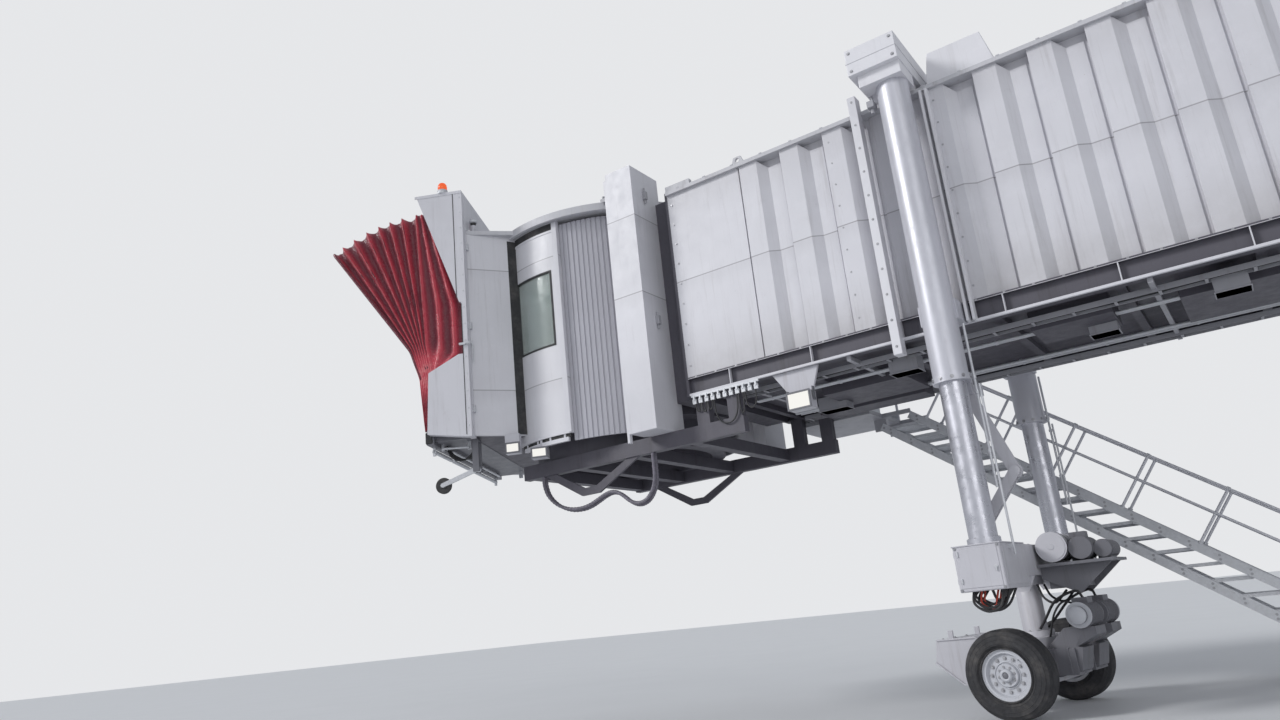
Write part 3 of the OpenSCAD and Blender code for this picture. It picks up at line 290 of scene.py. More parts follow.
class Shader:
    """One procedural material, built up node by node."""

    def __init__(self, name, color, rough, metal=0.0):
        self.mat = bpy.data.materials.new(name)
        self.mat.use_nodes = True
        self.tree = self.mat.node_tree
        self.color = (*color, 1)
        self.bsdf = self.tree.nodes["Principled BSDF"]
        set_inputs(self.bsdf, Metallic=metal, Roughness=rough, Base_Color=self.color)
        self.place = self.node("TexCoord").outputs["Object"]
        self.out = None

    def node(self, kind, **values):
        return add_node(self.tree, kind, **values)

    def link(self, a, b):
        self.tree.links.new(a, b)

    def texture(self, kind, place, **values):
        n = self.node(kind, **values)
        self.link(place, n.inputs["Vector"])
        return n

    def noise(self, scale, detail=4.0, rough=0.6, stretch=None):
        place = self.place
        if stretch:
            place = self.texture("Mapping", place, Scale=stretch).outputs["Vector"]
        return self.texture("TexNoise", place, Scale=scale, Detail=detail, Roughness=rough).outputs["Fac"]

    def cells(self, scale):
        grey = self.node("RGBToBW")
        self.link(self.texture("TexVoronoi", self.place, Scale=scale).outputs["Color"], grey.inputs[0])
        return grey.outputs[0]

    def wave(self, scale, direction):
        n = self.texture("TexWave", self.place, Scale=scale, Distortion=0.0)
        n.bands_direction = direction
        return n.outputs["Fac"]

    def height(self):
        n = self.node("SeparateXYZ")
        self.link(self.place, n.inputs[0])
        return n.outputs["Z"]

    def math(self, what, a, b=None):
        n = self.node("Math")
        n.operation = what
        for i, v in enumerate((a, b)):
            if isinstance(v, (int, float)):
                n.inputs[i].default_value = v
            elif v is not None:
                self.link(v, n.inputs[i])
        return n.outputs[0]

    def times(self, a, b):
        return self.math("MULTIPLY", a, b)

    def ramp(self, value, low, high, a=0.0, b=1.0):
        n = self.node("MapRange", From_Min=low, From_Max=high, To_Min=a, To_Max=b)
        n.interpolation_type = "SMOOTHSTEP"
        self.link(value, n.inputs["Value"])
        return n.outputs["Result"]

    def tint(self, factor, color):
        """Mixes another colour over what there is, by the factor."""
        n = self.node("Mix")
        n.data_type = "RGBA"
        self.link(factor, n.inputs["Factor"])
        if self.out is None:
            set_inputs(n, A=self.color)
        else:
            self.link(self.out, n.inputs["A"])
        set_inputs(n, B=(*color, 1))
        self.out = n.outputs["Result"]
        self.link(self.out, self.bsdf.inputs["Base Color"])

    def patches(self, value, low, high, amount, color):
        """Tints where a texture rises from low to high, by amount at most."""
        self.tint(self.ramp(value, low, high, 0.0, amount), color)

    def rough(self, value, low, high):
        self.link(self.ramp(value, 0.25, 0.75, low, high), self.bsdf.inputs["Roughness"])

    def bump(self, value, depth, strength):
        n = self.node("Bump", Strength=strength, Distance=depth)
        self.link(value, n.inputs["Height"])
        last = self.bsdf.inputs["Normal"]
        if last.is_linked:
            self.link(last.links[0].from_socket, n.inputs["Normal"])
        self.link(n.outputs["Normal"], last)


def shade(color, k):
    return tuple(min(1.0, c * k) for c in color)


def painted(name, color, rough, dirt=0.5, grime=(0.16, 0.13, 0.12), metal=0.0):
    """Sheet metal with paint: uneven tone, rain streaks, soft dents, orange peel and small chips."""
    s = Shader(name, color, rough, metal)
    s.patches(s.noise(0.55, 3), 0.35, 0.7, 0.5, shade(color, 0.86))
    s.patches(s.noise(2.6, 6, 0.7), 0.45, 0.75, 0.45, shade(color, 1.07))
    s.patches(s.noise(1.0, 6, 0.7, stretch=(9.0, 9.0, 0.55)), 0.52, 0.78, 0.42 * dirt, grime)
    s.patches(s.noise(1.0, 3, 0.5, stretch=(46.0, 46.0, 1.4)), 0.6, 0.8, 0.2 * dirt, shade(grime, 1.4))
    smudge = s.noise(5.5, 8, 0.75)
    s.patches(smudge, 0.6, 0.82, 0.35 * dirt, grime)
    s.patches(s.noise(38.0, 3), 0.735, 0.76, 0.7 * dirt, (0.2, 0.15, 0.12))
    s.rough(smudge, rough - 0.07, rough + 0.16)
    s.bump(s.noise(1.7, 2), 0.012, 0.35)
    s.bump(s.noise(230.0, 2), 0.0006, 0.25)
    return s


def steel(name, color, rough, metal, spangle=True, grain=0.4, spots=0.5):
    s = Shader(name, color, rough, metal)
    if spangle:
        s.tint(s.times(s.cells(42.0), 0.4), shade(color, 0.72))
    s.patches(s.noise(3.0, 6, 0.7), 0.45, 0.75, 0.8 * spots, shade(color, 0.7))
    s.patches(s.noise(14.0, 6, 0.7), 0.62, 0.8, spots, (0.2, 0.17, 0.15))
    s.rough(s.noise(7.0, 5, 0.7), rough - 0.08, rough + 0.2)
    s.bump(s.noise(160.0, 3), 0.0006, grain)
    return s


def rubber(name, color, rough=0.75, dust=0.4):
    s = Shader(name, color, rough)
    s.patches(s.noise(4.0, 7, 0.7), 0.45, 0.75, dust, (0.17, 0.155, 0.145))
    s.patches(s.noise(30.0), 0.4, 0.7, 0.5, shade(color, 1.8))
    s.rough(s.noise(9.0, 5), rough - 0.12, rough + 0.12)
    s.bump(s.noise(190.0), 0.0012, 0.5)
    return s


def glow(name, color, strength, base):
    s = Shader(name, base, 0.25)
    s.patches(s.noise(20.0, 3), 0.4, 0.8, 0.2, shade(base, 0.8))
    set_inputs(s.bsdf, Emission_Color=(*color, 1), Emission_Strength=strength)
    s.bump(s.noise(60.0, 2), 0.001, 0.2)
    return s


def seams(s, *heights, color=(0.25, 0.24, 0.26)):
    """Thin level joints between sheets, with a faint run of dirt below each."""
    z = s.height()
    for h in heights:
        off = s.math("ABSOLUTE", s.math("SUBTRACT", z, h))
        s.tint(s.times(s.ramp(off, 0.004, 0.009, 1.0, 0.0), 0.75), color)
        below = s.times(s.ramp(z, h - 0.25, h), s.math("LESS_THAN", z, h))
        run = s.noise(1.0, 5, 0.7, stretch=(14.0, 14.0, 0.8))
        s.tint(s.times(s.times(below, run), 0.22), color)
    return s


def wall_paint():
    """Wall paint with a weld seam along the ribs, darker in noisy patches towards the bottom and the top edge."""
    s = painted("wall_paint", LILAC, 0.38, 0.6)
    z = s.height()
    low = s.ramp(z, PANEL_Z, PANEL_Z + 0.75, 1.0, 0.0)
    s.tint(s.times(s.times(low, s.noise(3.2, 6, 0.7)), 0.55), (0.3, 0.28, 0.27))
    high = s.ramp(z, ROOF_Z - 0.5, ROOF_Z)
    s.tint(s.times(s.times(high, s.noise(2.4, 6, 0.7)), 0.35), (0.34, 0.32, 0.32))
    return seams(s, SEAM_Z)


def cloth_paint():
    """Coated cloth: crimson, pale along the ridges as wear and as a painted highlight, painted shade in the hollows,
    with creases and weave.
    """
    s = Shader("canopy_cloth_look", (0.58, 0.035, 0.065), 0.36)
    set_inputs(s.bsdf, Sheen_Weight=0.25, Sheen_Roughness=0.5)
    ridge = s.node("Attribute")
    ridge.attribute_name = "ridge"
    height = ridge.outputs["Fac"]
    s.patches(s.noise(1.3), 0.35, 0.7, 0.6, (0.46, 0.025, 0.055))
    # Painted shade in the fold hollows: darker where the fold value is low.
    s.patches(height, 0.85, 0.1, 0.9, (0.085, 0.004, 0.018))
    # Pale along the ridges: partly wear and partly a painted highlight.
    ridge_wear_and_highlight = s.times(s.ramp(height, 0.8, 1.0), s.ramp(s.noise(9.0, 6, 0.7), 0.35, 0.7))
    s.tint(s.times(ridge_wear_and_highlight, 0.7), (0.8, 0.3, 0.3))
    s.patches(s.noise(6.0, 8, 0.75), 0.58, 0.8, 0.35, (0.16, 0.04, 0.05))
    s.rough(s.noise(8.0, 6, 0.7), 0.2, 0.42)
    s.bump(s.noise(7.0, 8, 0.7), 0.03, 0.7)
    s.bump(s.noise(34.0, 6, 0.7), 0.006, 0.5)
    s.bump(s.wave(420.0, "Z"), 0.0004, 0.3)
    return s


def window_glass():
    s = Shader("window_glass_look", (0.74, 0.84, 0.8), 0.08)
    set_inputs(s.bsdf, Transmission_Weight=0.75, IOR=1.45)
    s.patches(s.noise(2.0, 5), 0.4, 0.75, 0.35, (0.86, 0.9, 0.88))
    s.rough(s.noise(6.0, 6, 0.7), 0.05, 0.22)
    s.bump(s.noise(3.0, 2), 0.002, 0.15)
    return s


def tyre_rubber():
    s = rubber("tyre_look", (0.022, 0.022, 0.025), 0.72, 0.45)
    s.bump(s.noise(55.0, 5, 0.7), 0.003, 0.4)
    return s


def tread_steel():
    s = steel("tread_look", (0.6, 0.61, 0.64), 0.48, 0.45)
    for direction in "XY":
        s.bump(s.wave(26.0, direction), 0.003, 0.6)
    return s


# The pale paint of the tunnels and housings
LILAC = (0.65, 0.645, 0.685)

LOOKS = {
    "wall": wall_paint(),
    "panel": painted("panel_paint", LILAC, 0.36),
    "round": seams(painted("round_wall_paint", (0.66, 0.655, 0.69), 0.34), 4.62, 6.42),
    "housing": seams(painted("housing_paint", LILAC, 0.36, 0.45), 5.45, 6.55),
    "tread": tread_steel(),
    "inside": painted("inside_paint", (0.62, 0.63, 0.64), 0.5, 0.15),
    "roof": painted("roof_paint_look", (0.54, 0.54, 0.57), 0.5, 0.85),
    "white": painted("white_paint_look", (0.73, 0.725, 0.76), 0.34, 0.45),
    "curtain": painted("curtain_paint", (0.47, 0.465, 0.51), 0.34, 0.45),
    "dark": painted("dark_paint", (0.095, 0.09, 0.11), 0.5, 0.9, (0.03, 0.025, 0.02)),
    "mid": painted("mid_paint", (0.36, 0.36, 0.39), 0.42, 0.9),
    "grey": painted("grey_paint", (0.54, 0.535, 0.575), 0.38, 0.8),
    "machine": painted("machine_paint", (0.16, 0.16, 0.18), 0.4, 1.0, (0.04, 0.03, 0.025)),
    "column": painted("column_paint", (0.58, 0.58, 0.63), 0.36, 0.6, metal=0.3),
    "chrome": steel("column_chrome", (0.6, 0.6, 0.65), 0.27, 0.75, False, 0.15, 0.15),
    "rail": steel("rail_look", (0.66, 0.66, 0.7), 0.4, 0.3, False, 0.2, 0.25),
    "zinc": steel("zinc_look", (0.64, 0.65, 0.68), 0.44, 0.45),
    "bolt": steel("bolt_look", (0.42, 0.42, 0.44), 0.35, 0.85, False),
    "tyre": tyre_rubber(),
    "rim": painted("rim_paint_look", (0.52, 0.53, 0.57), 0.4, 1.0),
    "rubber": rubber("rubber_look", (0.03, 0.03, 0.032)),
    "mat": rubber("floor_mat_look", (0.075, 0.08, 0.09), 0.8, 0.3),
    "wire": rubber("wire_look", (0.02, 0.02, 0.022), 0.5, 0.15),
    "hose": rubber("hose_look", (0.15, 0.14, 0.17), 0.5, 0.15),
    "cloth": cloth_paint(),
    "glass": window_glass(),
    "lens": glow("lens_look", (1.0, 0.98, 0.93), 0.84, (0.08, 0.08, 0.08)),
    "strip": glow("ceiling_lamp_look", (1.0, 0.97, 0.9), 0.8, (0.1, 0.1, 0.1)),
    "beacon": glow("beacon_look", (0.95, 0.13, 0.02), 0.8, (0.12, 0.02, 0.01)),
    "orange": painted("orange_paint", (0.55, 0.07, 0.04), 0.4, 0.8),
}

# The material slot of each look, and the look of each node

SLOTS = {look: slot for slot, looks in (
    ("pale_paint", "wall panel inside curtain round housing"), ("roof_paint", "roof"),
    ("white_paint", "white"), ("dark_steel", "dark machine"), ("mid_steel", "mid grey orange"),
    ("column_steel", "column chrome"), ("galvanised", "zinc bolt rail tread"),
    ("tyre", "tyre rubber mat"), ("rim_paint", "rim"), ("cable", "wire"), ("hose", "hose"),
    ("canopy_cloth", "cloth"), ("window_glass", "glass"), ("lamp", "lens strip beacon"),
) for look in looks.split()}

NODE_LOOKS = {
    "mid": "pedestal landing",
    "dark": "rotunda_floor inner_floor outer_floor bottom_chords end_frame cab_support cab_floor",
    "panel": "rotunda_wall terminal_frame rotunda_throat inner_shell service_door front_frame",
    "roof": "rotunda_roof outer_roof cab_roof",
    "wall": "near_wall far_wall",
    "white": "portal_posts header_beam",
    "column": "outer_columns",
    "chrome": "inner_columns",
    "zinc": "cable_hangers canopy_bow leveller_arm stair_stringers",
    "rail": "landing_rail stair_rail",
    "tread": "stair_treads",
    "housing": "curtain_housings",
    "curtain": "slat_curtains",
    "grey": "tunnel_floodlight crossbeam cabinet scissor_upper scissor_lower bogie_frame cab_lamps",
    "machine": "pump_set drive_units bumper",
    "wire": "festoon",
    "hose": "cab_hose",
    "tyre": "tyre_near tyre_far",
    "rim": "rim_near rim_far",
    "rubber": "leveller_wheel stair_wheels",
    "round": "cab_walls",
    "glass": "cab_window",
}


def dress_nodes():
    for look, names in NODE_LOOKS.items():
        for name in names.split():
            data = nodes[name].data
            data.materials.clear()
            data.materials.append(LOOKS[look].mat)


def round_edges(piece, width):
    """Rounds the sharp edges of a piece when it is drawn."""
    edge = piece.modifiers.new("edges", "BEVEL")
    edge.width = width
    edge.segments = 2
    edge.limit_method = "ANGLE"
    edge.angle_limit = radians(50)
    return edge


def soften(name, width):
    """Rounded edges on a node of plates and boxes, whose solid stays as it is."""
    nodes[name].modifiers.new("weld", "WELD").merge_threshold = 0.0002
    round_edges(nodes[name], width).harden_normals = True


# Points in rows, in rings and along curves

def steps(start, step, count):
    return [start + i * step for i in range(count)]


def evenly(a, b, n):
    a, b = Vector(a), Vector(b)
    return [a.lerp(b, i / (n - 1)) for i in range(n)]


def turns(n, start=0.0):
    return [start + 2 * pi * i / n for i in range(n)]


def ring_points(x, y, z, r, n):
    return [(x + r * cos(a), y + r * sin(a), z) for a in turns(n)]


def smoothed(points, count=6):
    """Points on a soft curve through the given ones."""
    p = [Vector(q) for q in points]
    p = [p[0] * 2 - p[1]] + p + [p[-1] * 2 - p[-2]]
    out = []
    for a, b, c, d in zip(p, p[1:], p[2:], p[3:]):
        for i in range(count):
            t = i / count
            out.append(0.5 * (2 * b + (c - a) * t + (2 * a - 5 * b + 4 * c - d) * t * t
                    + (3 * b - a - 3 * c + d) * t ** 3))
    return out + [p[-2]]


# Small parts, gathered into one mesh for each body and finish

class Kit:
    def __init__(self, name, body, look):
        self.name, self.body, self.look = name, body, look
        self.bm = bmesh.new()

    def box(self, a, b, turn=None):
        lo, hi = (Vector([pick(p, q) for p, q in zip(a, b)]) for pick in (min, max))
        m = Matrix.Translation((lo + hi) / 2) @ (turn or Matrix()) @ Matrix.Diagonal((*(hi - lo), 1))
        bmesh.ops.create_cube(self.bm, size=1.0, matrix=m)

    def pair(self, a, b):
        """The same box on both sides of the middle plane."""
        for s in SIDES:
            self.box((a[0], s * a[1], a[2]), (b[0], s * b[1], b[2]))

    def row(self, starts, wide, y, z):
        """Boxes of one width, one from each X in starts, within the spans y and z."""
        for x in starts:
            self.box((x, y[0], z[0]), (x + wide, y[1], z[1]))

    def rod(self, p, q, r, n=16, flat=False):
        p, q = Vector(p), Vector(q)
        d = q - p
        m = Matrix.Translation((p + q) / 2) @ d.to_track_quat("Z", "Y").to_matrix().to_4x4()
        made = bmesh.ops.create_cone(self.bm, cap_ends=True, segments=n, radius1=r, radius2=r,
                depth=d.length, matrix=m)
        if flat:
            return
        for f in {f for v in made["verts"] for f in v.link_faces}:
            if len(f.verts) == 4:
                f.smooth = True
            else:
                for e in f.edges:
                    e.smooth = False

    def bar(self, p, axis, long, r, n=12):
        """A rod along one of the axes, from p."""
        q = Vector(p)
        q["XYZ".index(axis)] += long
        self.rod(p, q, r, n)

    def bolts(self, points, axis, r=0.012, h=0.01, washer=True):
        a = Vector(axis).normalized()
        for p in points:
            p = Vector(p)
            if washer:
                self.rod(p - a * 0.002, p + a * 0.003, r * 1.7, 12)
            self.rod(p - a * 0.002, p + a * h, r, 6, flat=True)

    def skin(self, rings, smooth=False):
        """Walls from ring to ring, with both ends closed."""
        for u, v in zip(rings, rings[1:]):
            for k in range(len(u)):
                j = (k + 1) % len(u)
                self.bm.faces.new((u[k], u[j], v[j], v[k])).smooth = smooth
        self.bm.faces.new(rings[0][::-1])
        self.bm.faces.new(rings[-1])

    def tube(self, points, r, n=8):
        """A round tube along points, with its frame carried along."""
        pts = [Vector(p) for p in points]
        rings = []
        for i, p in enumerate(pts):
            t = (pts[min(i + 1, len(pts) - 1)] - pts[max(i - 1, 0)]).normalized()
            side = (side - t * side.dot(t) if rings else t.orthogonal()).normalized()
            other = t.cross(side)
            rings.append([self.bm.verts.new(p + r * (cos(a) * side + sin(a) * other)) for a in turns(n)])
        self.skin(rings, True)

    def wire(self, points, r, count=6):
        """A tube on a soft curve."""
        self.tube(smoothed(points, count), r)

    def lathe(self, p, axis, profile, n):
        """A turned piece: profile is (radius, distance along the axis), where radius 0 is one point."""
        m = Matrix.Translation(p) @ Vector(axis).to_track_quat("Z", "Y").to_matrix().to_4x4()
        u = None
        for r, h in profile:
            v = [self.bm.verts.new(m @ Vector((r * cos(a), r * sin(a), h))) for a in turns(n if r else 1)]
            for k in range(n if u else 0):
                j = (k + 1) % n
                corners = (u[k % len(u)], u[j % len(u)], v[j % len(v)], v[k % len(v)])
                self.bm.faces.new(tuple(dict.fromkeys(corners))).smooth = True
            u = v

    def arc_strip(self, r0, r1, a0, a1, z0, z1, n=20):
        """Part of a ring about the Z axis, the angle counted from -Y towards +X in degrees."""
        rings = []
        for i in range(n + 1):
            a = radians(a0 + (a1 - a0) * i / n - 90)
            rings.append([self.bm.verts.new((r * cos(a), r * sin(a), z)) for r, z in
                    ((r0, z0), (r1, z0), (r1, z1), (r0, z1))])
        self.skin(rings)

    def arc_pair(self, r0, r1, a0, a1, z0, z1):
        """The same strip on both sides of the middle plane."""
        self.arc_strip(r0, r1, a0, a1, z0, z1)
        self.arc_strip(r0, r1, 180 - a1, 180 - a0, z0, z1)

    def prism(self, points, y0, y1):
        """An outline in X and Z, from y0 to y1."""
        self.skin([[self.bm.verts.new((x, y, z)) for x, z in points] for y in (y0, y1)])

    def done(self, bevel=0.0):
        bmesh.ops.recalc_face_normals(self.bm, faces=self.bm.faces[:])
        data = bpy.data.meshes.new(self.name)
        self.bm.to_mesh(data)
        self.bm.free()
        data.transform(PLACES.get(self.body, PLAIN))
        data.materials.append(LOOKS[self.look].mat)
        piece = linked(self.name, data)
        if bevel:
            round_edges(piece, bevel)
        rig.ride(piece, self.body)
        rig.slot(piece, SLOTS[self.look])
        return piece


# The canopy: one sheet of coated cloth folded over hoops that turn about one hinge

HOOPS = [2.6, 7.8, 12.2, 16.4, 21.0, 26.0, 30.6, 34.4]
HINGE_X, HINGE_Z, REACH, WIDE = -2.6, 5.0, 2.515, 1.492
FRAME_X, LIP_X, FOOT_Z = -1.985, -2.48, 4.16
FOOT_POINTS = 18
CLOTH_THICK = 0.003
LINE_RADII = [0, 0.04, 0.06, 0.06, 0.09, 0]
LINE_STEPS = [16, 16, 18, 40, 44]


def smooth(a, b, v):
    t = min(1.0, max(0.0, (v - a) / (b - a)))
    return t * t * (3 - 2 * t)


def rounded(points, radii, counts):
    """A line through points with round corners, with a set number of steps for each straight part."""
    pts = [Vector(p) for p in points]
    line = []
    for i in range(len(pts) - 1):
        a, b = pts[i], pts[i + 1]
        d = (b - a).normalized()
        start = a + d * radii[i]
        end = b - d * radii[i + 1]
        line += [start.lerp(end, k / counts[i]) for k in range(counts[i] + 1)]
        if radii[i + 1] > 0:
            leave = b + (pts[i + 2] - b).normalized() * radii[i + 1]
            for k in range(1, 6):
                t = k / 6
                line.append(end * (1 - t) ** 2 + b * 2 * t * (1 - t) + leave * t * t)
    return line


def on_hoop(degrees, r, y):
    a = radians(degrees)
    return (HINGE_X - r * sin(a), y, HINGE_Z + r * cos(a))


def half_path(k):
    """One fold line of the near half, from the foot of the tail up and across to the middle."""
    share = k / len(HOOPS) - 0.5
    pts = [(HINGE_X - 0.015 - 0.11 * share, -WIDE + 0.02, FOOT_Z)]
    if k == 0:
        lip_z = HINGE_Z + REACH - 0.02
        pts += [(HINGE_X + 0.09, -WIDE + 0.03, 4.95), (FRAME_X, -WIDE, 5.15), (FRAME_X, -WIDE, 5.92),
                (LIP_X, -WIDE, lip_z), (LIP_X, 0, lip_z)]
    else:
        pts += [(HINGE_X - 0.02 - 0.23 * share, -WIDE + 0.03, 4.93)]
        pts += [on_hoop(HOOPS[k - 1], r, y) for r, y in
                ((0.45, -WIDE), (1.1, -WIDE), (REACH, -WIDE), (REACH, 0))]
    return rounded(pts, LINE_RADII, LINE_STEPS)


def from_hinge(p):
    return Vector((p.x - HINGE_X, 0, p.z - HINGE_Z))


def inward(p):
    """The way into the canopy: towards the hinge on the roof, and towards the middle on the sides."""
    over = smooth(WIDE - 0.16, WIDE - 0.02, abs(p.y))
    d = Vector((0, -copysign(over, p.y), 0))
    out = from_hinge(p)
    if out.length > 0.05:
        d -= out.normalized() * (1 - over)
    return d


def folded(lines):
    """Rows of points with folds hanging inwards between the lines, and how high each lies on its fold."""
    rows, ridge = [], []
    for k, (line, following) in enumerate(zip(lines, lines[1:])):
        count, folds, depth_share = (18, 3, 0.6) if k == 0 else (12, 1, 1.0)
        for i in range(count):
            f = i / count
            row, tone = [], []
            for p, q in zip(line, following):
                base = p.lerp(q, f)
                r = from_hinge(base).length
                hollow = abs(sin(pi * f * folds)) ** 0.7
                depth = min(0.15, 0.62 * (q - p).length / folds) * hollow * depth_share
                depth *= 0.3 + 0.7 * smooth(0.15, 0.6, r)
                row.append(base + inward(base) * depth)
                # This value later paints shade in the fold hollows and partly a highlight on the ridges.
                tone.append(1 - 0.85 * hollow * smooth(0.05, 0.5, r))
            rows.append(row)
            ridge.append(tone)
    return rows + [lines[-1]], ridge + [[1.0] * len(lines[-1])]


def crumpled(p, i, last):
    """A point of row i with the cloth's small waves, stronger towards the front."""
    r = from_hinge(p).length
    near_front = smooth(0.6, 1.0, i / last)
    free = smooth(0.15, 0.9, r) if 0 < i < last else 0.3
    w = Vector((p.x * 2.2, p.y * 1.6, p.z * 2.2))
    push = 0.02 * noise.noise(w * 1.3) + 0.012 * noise.noise(w * 4.0 + Vector((5, 1, 2)))
    along = Vector((i * 0.55, r * 3.0, p.y * 2.0))
    push += (0.012 + 0.022 * near_front) * noise.noise(along + Vector((9, 3, 7)))
    push += 0.01 * near_front * noise.noise(Vector((i * 0.3, r * 11.0, p.y * 9.0)))
    return p + inward(p) * (abs(push) * free + 0.002)


def make_canopy():
    halves = [half_path(k) for k in range(len(HOOPS) + 1)]
    lines = [half + [Vector((p.x, -p.y, p.z)) for p in reversed(half[:-1])] for half in halves]
    rows, ridge = folded(lines)
    bm = bmesh.new()
    # The fold value, used for painted shade in the hollows and a partly painted highlight on the ridges.
    layer = bm.verts.layers.float.new("ridge")
    grid = []
    for i, (row, tone) in enumerate(zip(rows, ridge)):
        grid.append([bm.verts.new(crumpled(p, i, len(rows) - 1)) for p in row])
        for v, t in zip(grid[-1], tone):
            v[layer] = max(0.0, min(1.0, t))
    for a, b in zip(grid, grid[1:]):
        for j in range(len(a) - 1):
            bm.faces.new((a[j], a[j + 1], b[j + 1], b[j])).smooth = True
    bmesh.ops.recalc_face_normals(bm, faces=bm.faces[:])
    area = sum(f.calc_area() for f in bm.faces)
    data = bpy.data.meshes.new("canopy_sheet")
    bm.to_mesh(data)
    bm.free()
    data.transform(CAB)
    data.materials.append(LOOKS["cloth"].mat)
    sheet = linked("canopy_sheet", data)
    thick = sheet.modifiers.new("cloth", "SOLIDIFY")
    thick.thickness = CLOTH_THICK
    thick.offset = 0
    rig.ride(sheet, "cab")
    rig.replaces(sheet, "canopy")
    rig.slot(sheet, "canopy_cloth")
    long = sum((b - a).length for a, b in zip(lines[-1], lines[-1][1:]))
    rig.sheet(sheet, flat=(round(long, 2), round(area / long * 1.02, 3)), held="stretched",
            rests_on=["canopy_bow"], area=round(area, 2))
    add_canopy_edges(lines[-1])


def add_canopy_edges(front):
    """The hem along the front line, the hoops under the cloth and the hinge discs."""
    hem = Kit("canopy_hem", "cab", "cloth")
    edge = []
    for p in front[FOOT_POINTS:-FOOT_POINTS]:
        sideways = copysign(0.02, p.y) if abs(p.y) > 0.1 else 0
        edge.append(p - from_hinge(p).normalized() * 0.02 - Vector((0, sideways, 0)))
    hem.tube(edge[::2], 0.022, 10)
    hem.done()
    hoops = Kit("canopy_hoops", "cab", "cloth")
    r, y = REACH - 0.035, WIDE - 0.035
    for degrees in HOOPS[:-1]:
        corners = [on_hoop(degrees, *place) for place in ((0.08, -y), (r, -y), (r, y), (0.08, y))]
        hoops.tube(rounded(corners, [0, 0.09, 0.09, 0], [6, 10, 6]), 0.011)
    for s in SIDES:
        hoops.bar((HINGE_X, s * (WIDE - 0.12), HINGE_Z), "Y", s * 0.06, 0.07, 20)
    hoops.done()


# Cords

def add_cord(name, points, r, look, node, rings=0.0):
    """A declared cord along points in the columns' frame, ribbed when rings is its rib spacing."""
    path = smoothed(points)
    k = Kit(name, "outer", look)
    k.tube(path, r, 12)
    if rings:
        run, want = 0.0, rings
        for a, b in zip(path, path[1:]):
            run += (b - a).length
            if run >= want:
                want = run + rings
                t = (b - a).normalized()
                k.rod(b - t * 0.008, b + t * 0.008, r * 1.14, 12)
    piece = k.done()
    long = sum((b - a).length for a, b in zip(path, path[1:]))
    world = [PLAIN @ p for p in path]
    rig.cord(piece, exit=tuple(world[0]), length=round(long, 3), diameter=round(2 * r, 4), far_end="object",
            stiffness="medium", lay="hanging", path=[tuple(p) for p in world])
    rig.replaces(piece, node)


# The route of the cab's hoses in X and Z, in millimetres, between two ends at one height
HOSE_ROUTE = [(-5862, 3300), (-5810, 3160), (-5700, 3040), (-5560, 2955), (-5400, 2905), (-5230, 2893),
        (-5080, 2915), (-4950, 2960), (-4830, 3005), (-4715, 3028), (-4610, 3005), (-4520, 2945),
        (-4430, 2870), (-4340, 2825), (-4250, 2815), (-4160, 2842), (-4085, 2905), (-4030, 2995),
        (-4000, 3110), (-3995, 3250)]
HOSE_TOP = 3.42

# The loops of the festoon: first clamp, last clamp and drop in millimetres
LOOPS = [(0, 1, 100), (1, 2, 120), (2, 3, 110), (3, 7, 330), (7, 8, 250), (8, 10, 210)]


def add_cords():
    for i, y in enumerate((-1.39, -1.335)):
        pts = [(x / 1000, y, HOSE_TOP - (HOSE_TOP - z / 1000) * (1 + 0.03 * i)) for x, z in HOSE_ROUTE]
        pts = [(-5.862, y, HOSE_TOP)] + pts + [(-3.995, y, HOSE_TOP)]
        add_cord("cab_hose_%d" % i, pts, 0.022, "hose", "cab_hose", 0.03)
    for k, (a, b, drop) in enumerate(LOOPS):
        xa, xb = LOOP_START + a * LOOP_PITCH + 0.014, LOOP_START + b * LOOP_PITCH - 0.014
        pts = [(xa + (xb - xa) * (t - sin(2 * pi * t) / (2 * pi)), -HALF + 0.005,
                CHORD_Z - 0.12 - drop / 1000 * sin(pi * t)) for t in (i / 18 for i in range(19))]
        add_cord("festoon_%d" % k, pts, 0.009, "wire", "festoon")


# The outer tunnel's parts

